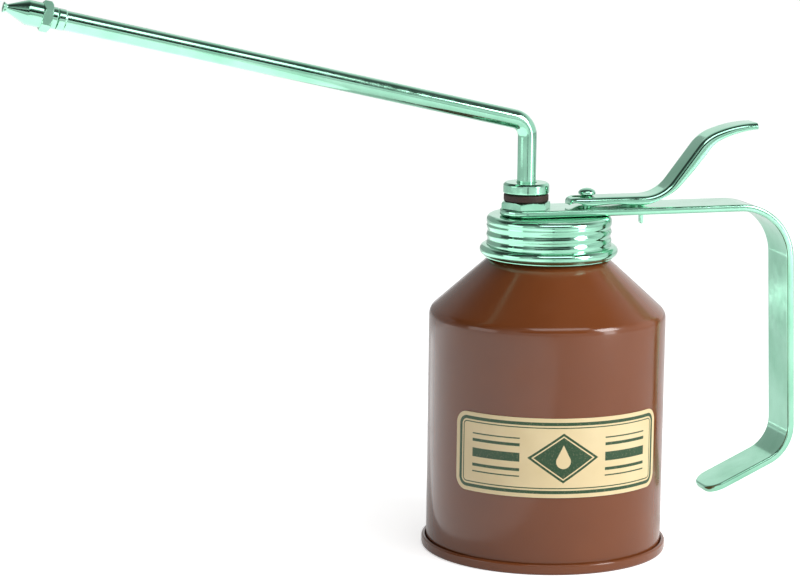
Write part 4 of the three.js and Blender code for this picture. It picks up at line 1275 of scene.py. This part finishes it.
@dataclass
class ThumbLever:
    """Pressed channel lever with a slot for the rod head and a tang through the strap.

    The flange's rows are (place, depth), counted from the nose and then from the heel.
    """

    nose_x: float = 6.4
    web_top: float = 120.17
    flat_end: float = 32.7
    half: float = 5.25
    sheet: float = 1.4
    bend: float = 1.7
    bend_share: float = 1.25
    bend_gap: float = 0.05
    rim: float = 0.32
    inner_round: float = 0.04
    nose_half: float = 2.3
    nose_length: float = 6.4
    nose_steps: int = 14
    nose_drop: float = 1.1
    drop_length: float = 3.0
    stations: int = 110
    rise_radius: float = 13.0
    rise_turn: float = 52.2
    straight: float = 14.6
    crest_radius: float = 14.5
    thumb_turn: float = 20.5
    thumb_radius: float = 42.0
    nose_flange: tuple[Pair, ...] = ((0.0, 1.47), (2.2, 1.6), (6.2, 3.1), (9.5, 2.6), (13.4, 2.35),
                                     (17.5, 2.4))
    heel_flange: tuple[Pair, ...] = ((-3.5, 3.0), (-0.5, 3.0), (2.3, 2.45), (5.0, 2.1), (6.8, 2.2),
                                     (12.0, 2.9), (19.0, 3.5), (26.5, 3.7), (35.0, 3.0))
    tip_flange: float = 2.1
    ease_step: float = 0.5
    ease_width: int = 9
    slot: Pair = (8.0, 15.3)
    slot_half: float = 1.9
    slot_corners: Pair = (1.89, 0.6)
    slot_reach: Pair = (4.0, 2.0)
    tang_x: float = 33.0
    tang_half: float = 0.9
    tang_breadth: float = 2.0
    tang_low: float = 110.2
    tang_sunk: float = 0.2
    tang_taper: float = 0.42
    tang_corners: Pair = (0.3, 0.85)
    tang_edge: float = 0.25

    def track(self) -> Track:
        """Path of the web's upper face from the nose to the thumb end."""
        crest = self.rise_turn - self.thumb_turn
        return Track((self.nose_x, self.web_top), 0.0,
                     ((self.flat_end - self.nose_x, 0.0),
                      (self.rise_radius * math.radians(self.rise_turn), self.rise_turn), (self.straight, 0.0),
                      (self.crest_radius * math.radians(crest), -crest),
                      (self.thumb_radius * math.radians(self.thumb_turn), -self.thumb_turn)))

    def flange(self, s: Array) -> Array:
        """Depth of the side flanges: short nose, foot on the strap, arch, heel, thin thumb end.

        Straight runs between the rows are eased by a moving average.

        Args:
            s: distances along the lever.

        Returns:
            The depth at each.
        """
        length, heel = self.track().length, self.flat_end - self.nose_x
        rows = np.array([*self.nose_flange, *((heel + place, depth) for place, depth in self.heel_flange),
                         (length, self.tip_flange)])
        even = np.arange(0.0, length + self.ease_step, self.ease_step)
        padded = np.pad(np.interp(even, *rows.T), self.ease_width // 2, mode="edge")
        kernel = np.hanning(self.ease_width)
        return np.interp(s, even, np.convolve(padded, kernel / kernel.sum(), mode="valid"))

    def build(self, shop: Workshop) -> None:
        """Builds the lever, joins its tang and cuts the slot of the rod.

        Args:
            shop: dresses and places the piece.
        """
        lever = assemble("channel_lever", self.channel())
        carve(lever, [self.tang()], "UNION")
        below, above = self.slot_reach
        carve(lever, [slot_cutter(self.slot, self.slot_half, self.slot_corners,
                                  self.web_top - below, self.web_top + above)])
        shop.place(lever, Body.LEVER, Slot.PLATING, "thumb_lever", rolled=True)

    def section(self) -> Array:
        """Half of the channel's section: side share, side offset, depth share, depth offset, bend share.

        A row stands at y = share * half + offset and depth = share * flange + offset, where the offset of
        the outer bend shrinks with a short flange. The rows run from the middle of the web down the outer
        side, round the edge and back up the inner side.

        Returns:
            The rows.
        """
        def run(*columns: float | Array) -> Array:
            """Rows of one run, with its fixed columns spread over its points."""
            return np.stack(np.broadcast_arrays(*columns), axis=-1)
        bow, small, sheet = quarter_turn(7), quarter_turn(4), self.sheet
        fall, rise = 1.0 - np.cos(small), 1.0 - np.sin(small)
        return np.concatenate([
            [(0.0, 0.0, 0.0, 0.0, 0.0), (0.5, 0.0, 0.0, 0.0, 0.0)],
            run(1.0, -self.bend * (1.0 - np.sin(bow)), 0.0, self.bend * (1.0 - np.cos(bow)), 1.0),
            run(1.0, -self.rim * fall, 1.0, -self.rim * rise, 0.0),
            run(1.0, self.rim * rise - sheet, 1.0, -self.rim * fall, 0.0),
            run(1.0, -sheet - self.inner_round * fall, 0.0, sheet + self.inner_round * rise, 0.0),
            [(0.5, -0.5 * sheet, 0.0, sheet, 0.0), (0.0, 0.0, 0.0, sheet, 0.0)]])

    def channel(self) -> Surface:
        """Channel of changing width and flange: its section carried along the track, with closed ends.

        Returns:
            The surface.
        """
        track = self.track()
        nose = self.nose_length * (1.0 - np.cos(quarter_turn(self.nose_steps)))
        s = np.concatenate([nose, np.linspace(self.nose_length, track.length, self.stations)[1:]])
        inside = np.clip(1.0 - s / self.nose_length, 0.0, 1.0)
        half = self.nose_half + (self.half - self.nose_half) * np.sqrt(1.0 - inside ** 2)
        drop = self.nose_drop * (1.0 - np.sqrt(1.0 - np.clip(1.0 - s / self.drop_length, 0.0, 1.0) ** 2))
        flange = self.flange(s)
        shrink = np.minimum(1.0, (flange - self.bend_gap) / self.bend / self.bend_share)
        side, side_off, deep, deep_off, bent = self.section().T
        y = half[:, None] * side + side_off
        depth = flange[:, None] * deep + deep_off * np.where(bent > 0.5, shrink[:, None], 1.0) + drop[:, None]
        loop_y = np.concatenate([y, -y[:, -2:0:-1]], axis=1)
        loop_d = np.concatenate([depth, depth[:, -2:0:-1]], axis=1)
        around = loop_y.shape[1]
        points = track.bend(np.repeat(s, around), loop_y.ravel(), loop_d.ravel()).reshape(*loop_y.shape, 3)
        skin = woven(points, loop_rows=False)
        ends = [list(range(around)), list(range((len(s) - 1) * around, len(s) * around))]
        return Surface(skin.points, skin.faces + ends)

    def tang(self) -> Surface:
        """Tang through the strap: a plate hung below the web, across the lever, that tapers to a round tip.

        Returns:
            The surface.
        """
        top = self.web_top - self.tang_sunk

        def hung(s: Array, y: Array, depth: float) -> Array:
            """Points s below the top, y along X with a taper, depth across."""
            x = self.tang_x + y * (1.0 - self.tang_taper * s / (top - self.tang_low))
            return np.stack([x, np.full(len(s), depth - self.tang_breadth / 2), top - s], axis=-1)
        outline = tablet((0.0, top - self.tang_low), self.tang_half, self.tang_corners)
        return plate(hung, outline, self.tang_breadth, self.tang_edge)


@dataclass
class PumpSet:
    """Rod with its domed head, the return spring and the solids inside the can."""

    rod_radius: float = 1.6
    rod_low: float = 62.77
    head_radius: float = 2.95
    head_low: float = 120.37
    head_rim: float = 121.0
    head_band: float = 0.3
    crown: float = 122.97
    dome_steps: int = 16
    coil_radius: float = 3.0
    wire: float = 0.8
    wire_columns: int = 12
    turns: int = 10
    turn_steps: int = 36
    end_share: float = 0.1
    coil: Pair = (71.57, 101.37)
    anchor: float = 101.8
    keep: float = 0.716

    def build(self, shop: Workshop) -> None:
        """Builds the rod and the spring, and dresses the solids of the pump.

        Args:
            shop: dresses and places the pieces.
        """
        shop.place(assemble("polished_rod", self.rod()), Body.ROD, Slot.PLATING, "pump_rod")
        spring = assemble("coiled_spring", self.spring())
        shop.place(spring, Body.HEAD, Slot.STEEL, "return_spring")
        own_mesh(spring)
        shop.dress_solids({
            Slot.BRASS: ("passage_plug", "rod_bush", "pump_barrel", "piston", "outlet_seat",
                         "outlet_stop_pin", "foot_valve", "inlet_stop_pin", "suction_tube",
                         "inlet_strainer"),
            Slot.STEEL: ("discharge_stud", "pump_block", "piston_nut", "outlet_ball", "inlet_ball"),
            Slot.LEATHER: ("rod_packing", "piston_cup"),
        })

    def rod(self) -> Surface:
        """Rod with a tapered collar and a domed head, an ellipse quarter, turned.

        Returns:
            The surface.
        """
        foot = self.head_rim + self.head_band
        reach = np.array([self.head_radius, self.crown - foot])
        dome = arc((0.0, foot), reach, quarter_turn(self.dome_steps))
        stem = rounded([(0.0, self.rod_low, 0.0), (self.rod_radius, self.rod_low, 0.25),
                        (self.rod_radius, self.head_low, 0.1), (self.head_radius, self.head_rim, 0.12),
                        (self.head_radius, foot - NEAR, 0.0)], closed=False)
        return turned(np.concatenate([stem, dome]), FINE_COLUMNS, ROD_X)

    def spring(self) -> Surface:
        """Round wire on a helix whose end coils lie flat: z follows an eased share of the turns.

        Returns:
            The surface.
        """
        low, tall = self.coil[0], self.coil[1] - self.coil[0]
        share = np.linspace(0.0, 1.0, self.turns * self.turn_steps + 1)
        flat, end = self.wire / tall, self.end_share
        eased = flat * np.clip(share / end, 0.0, 1.0) \
            + (1.0 - 2.0 * flat) * np.clip((share - end) / (1.0 - 2.0 * end), 0.0, 1.0) \
            + flat * np.clip((share - 1.0 + end) / end, 0.0, 1.0)
        angle = (math.tau * self.turns * share)[:, None]
        around = ring_angles(self.wire_columns)
        reach = self.coil_radius + 0.5 * self.wire * np.cos(around)
        z = (low + tall * eased)[:, None] + 0.5 * self.wire * np.sin(around)
        points = np.stack([ROD_X + reach * np.cos(angle), reach * np.sin(angle), z], axis=-1)
        skin = woven(points, loop_rows=False)
        ends = np.arange(self.wire_columns) + np.array([[0], [(len(share) - 1) * self.wire_columns]])
        return Surface(skin.points, skin.faces + ends.tolist())


@dataclass(frozen=True)
class Panel:
    """Flat panel of the studio: hung as a soft lamp, or stood as a card that only mirrors see.

    Args:
        name: its name.
        place: its middle, in metres.
        aim: point that it faces.
        size: width and height.
        level: power of a lamp in watts, or brightness of a card where the white room is 1.
    """

    name: str
    place: Triple
    aim: Triple
    size: Pair
    level: float

    @property
    def facing(self) -> Quaternion:
        """Turn that points the panel at its aim."""
        return (Vector(self.aim) - Vector(self.place)).to_track_quat("-Z", "Y")

    def hang(self) -> None:
        """Hangs the panel as a soft box."""
        data = bpy.data.lights.new(self.name, "AREA")
        data.shape, data.energy = "RECTANGLE", self.level
        data.size, data.size_y = self.size
        lamp = bpy.data.objects.new(self.name, data)
        lamp.location, lamp.rotation_euler = self.place, self.facing.to_euler()
        lamp.visible_camera = False
        bpy.context.scene.collection.objects.link(lamp)

    def stand(self) -> None:
        """Stands the panel as a dark or white card, which draws the streaks on bright metal.

        Its corners are place +- half width * side +- half height * up.
        """
        facing = np.array(self.facing.to_matrix())
        across, upward = facing[:, 0] * self.size[0] / 2, facing[:, 1] * self.size[1] / 2
        corners = np.array(self.place) + np.stack([-across - upward, across - upward,
                                                   across + upward, upward - across])
        card = assemble(self.name, Surface(corners / MM, [[0, 1, 2, 3]]))
        felt = bpy.data.materials.new(self.name + "_felt")
        tree = bare_tree(felt)
        even = add_node(tree, "ShaderNodeEmission", {"Color": WHITE, "Strength": self.level})
        add_node(tree, "ShaderNodeOutputMaterial", {"Surface": even.outputs[0]})
        card.data.materials.append(felt)
        card.visible_camera = card.visible_diffuse = card.visible_shadow = False


@dataclass
class Studio:
    """Camera, room, pale floor, soft lamps and cards, in metres.

    A fall is the nearness to a direction where the light starts and stops to fall, and its level there.
    """

    camera_place: Triple = (-0.3510, -0.9777, 0.2724)
    camera_aim: Triple = (0.2877, 0.9414, -0.1761)
    roll: float = 0.73
    lens: float = 140.25
    sensor: float = 36.0
    clip: Pair = (0.01, 50.0)
    dark_front: Triple = (0.2, -0.3, 1.0)
    dark_corner: Triple = (-0.70, 0.25, 0.67)
    front_fall: Four = (0.55, 0.95, 1.0, 0.1)
    corner_fall: Four = (0.5, 0.95, 1.0, 0.06)
    soft_fall: Four = (0.0, 0.8, 0.78, 0.05)
    floor_rings: tuple[float, ...] = (0.0, 0.2, 0.8, 2.5, 6.0)
    floor_columns: int = 64
    floor_tone: float = 0.93
    floor_glow: float = 0.66
    mirror_glow: float = 0.28
    lamps: tuple[Panel, ...] = (
        Panel("key_box", (0.62, -0.62, 0.62), (0.0, 0.0, 0.09), (0.36, 0.36), 4.8),
        Panel("low_box", (0.50, -0.56, 0.20), (0.0, 0.0, 0.08), (0.16, 0.38), 1.0),
        Panel("top_box", (-0.02, -0.46, 0.80), (-0.02, 0.0, 0.16), (0.70, 0.30), 2.1))
    cards: tuple[Panel, ...] = (
        Panel("back_card", (-0.30, 0.50, 0.23), (-0.20, 0.0, 0.18), (0.70, 0.34), 0.48),
        Panel("left_card", (-0.90, -0.10, 0.20), (0.0, 0.0, 0.08), (0.50, 0.36), 2.2),
        Panel("floor_card", (-0.34, -0.12, 0.002), (-0.34, -0.12, 1.0), (0.56, 1.0), 1.7),
        Panel("camera_card", (-0.18, -0.72, 0.47), (-0.05, 0.0, 0.15), (1.00, 0.28), 0.01),
        Panel("low_card", (-0.12, -0.60, 0.05), (0.0, 0.0, 0.05), (0.055, 0.10), 0.01))

    def build(self) -> None:
        """Sets the camera, the world, the floor, the lamps and the cards."""
        self.set_camera()
        self.set_world()
        self.lay_floor()
        for lamp in self.lamps:
            lamp.hang()
        for card in self.cards:
            card.stand()
        bpy.context.scene.view_settings.view_transform = "Standard"

    def set_camera(self) -> None:
        """Puts the camera where the fitted view has it, with its small roll."""
        ahead = Vector(self.camera_aim).normalized()
        side = ahead.cross(Vector((0.0, 0.0, 1.0))).normalized()
        up = side.cross(ahead)
        turn = math.radians(self.roll)
        right = side * math.cos(turn) + up * math.sin(turn)
        above = up * math.cos(turn) - side * math.sin(turn)
        data = bpy.data.cameras.new("camera")
        data.lens, data.sensor_width = self.lens, self.sensor
        data.clip_start, data.clip_end = self.clip
        camera = bpy.data.objects.new("camera", data)
        camera.matrix_world = Matrix.Translation(self.camera_place) @ Matrix(
            (right, above, -ahead)).transposed().to_4x4()
        bpy.context.scene.collection.objects.link(camera)
        bpy.context.scene.camera = camera

    def set_world(self) -> None:
        """White room for the camera, one that darkens overhead for mirrors, and soft light for the rest."""
        world = bpy.data.worlds.new("room")
        tree = bare_tree(world)
        rays = add_node(tree, "ShaderNodeLightPath").outputs
        aim = add_node(tree, "ShaderNodeTexCoord").outputs["Generated"]
        levels = []
        for toward, fall in ((self.dark_front, self.front_fall), (self.dark_corner, self.corner_fall),
                             (self.dark_corner, self.soft_fall)):
            near = add_node(tree, "ShaderNodeVectorMath", {0: aim, 1: toward}, operation="DOT_PRODUCT")
            feeds = {0: near.outputs["Value"], **dict(enumerate(fall, 1))}
            levels.append(add_node(tree, "ShaderNodeMapRange", feeds).outputs[0])
        front, corner, even = levels
        mirror = add_node(tree, "ShaderNodeMath", {0: corner, 1: front}, operation="MULTIPLY")
        mirrored = add_node(tree, "ShaderNodeMath",
                            {0: rays["Is Glossy Ray"], 1: rays["Is Transmission Ray"]}, operation="MAXIMUM")
        soft, room, white = (
            add_node(tree, "ShaderNodeBackground", {"Color": WHITE, "Strength": strength}).outputs[0]
            for strength in (even, mirror.outputs[0], 1.0))
        seen = add_node(tree, "ShaderNodeMixShader", {0: mirrored.outputs[0], 1: soft, 2: room})
        whole = add_node(tree, "ShaderNodeMixShader",
                         {0: rays["Is Camera Ray"], 1: seen.outputs[0], 2: white})
        add_node(tree, "ShaderNodeOutputWorld", {"Surface": whole.outputs[0]})
        bpy.context.scene.world = world

    def lay_floor(self) -> None:
        """Pale floor: rings of a disc, so wide that its edge is out of view."""
        reach, angles = np.array(self.floor_rings)[:, None] / MM, ring_angles(self.floor_columns)
        points = np.stack([reach * np.cos(angles), reach * np.sin(angles), 0.0 * reach * angles], axis=-1)
        floor = assemble("floor", woven(points, loop_rows=False))
        paper = bpy.data.materials.new("paper_sweep")
        tree = bare_tree(paper)
        tone = self.floor_tone
        matt = add_node(tree, "ShaderNodeBsdfDiffuse", {"Color": (tone, tone, tone, 1.0)})
        rays = add_node(tree, "ShaderNodeLightPath").outputs
        mirror = add_node(tree, "ShaderNodeMath", {0: rays["Is Glossy Ray"], 1: self.mirror_glow},
                          operation="MULTIPLY")
        lift = add_node(tree, "ShaderNodeMath",
                        {0: rays["Is Camera Ray"], 1: self.floor_glow, 2: mirror.outputs[0]},
                        operation="MULTIPLY_ADD")
        glow = add_node(tree, "ShaderNodeEmission", {"Color": WHITE, "Strength": lift.outputs[0]})
        whole = add_node(tree, "ShaderNodeAddShader", {0: matt.outputs[0], 1: glow.outputs[0]})
        add_node(tree, "ShaderNodeOutputMaterial", {"Surface": whole.outputs[0]})
        floor.data.materials.append(paper)


def main() -> None:
    """Builds every sub-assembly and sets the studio."""
    logging.basicConfig(level=logging.INFO, format="%(name)s: %(message)s")
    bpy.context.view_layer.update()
    can = CanBody()
    shop = Workshop(can.film())
    for part in (can, NeckAndCap(can), StrapHandle(), SpoutSet(), ThumbLever(), PumpSet()):
        part.build(shop)
    Studio().build()


if __name__ == "__main__":
    main()
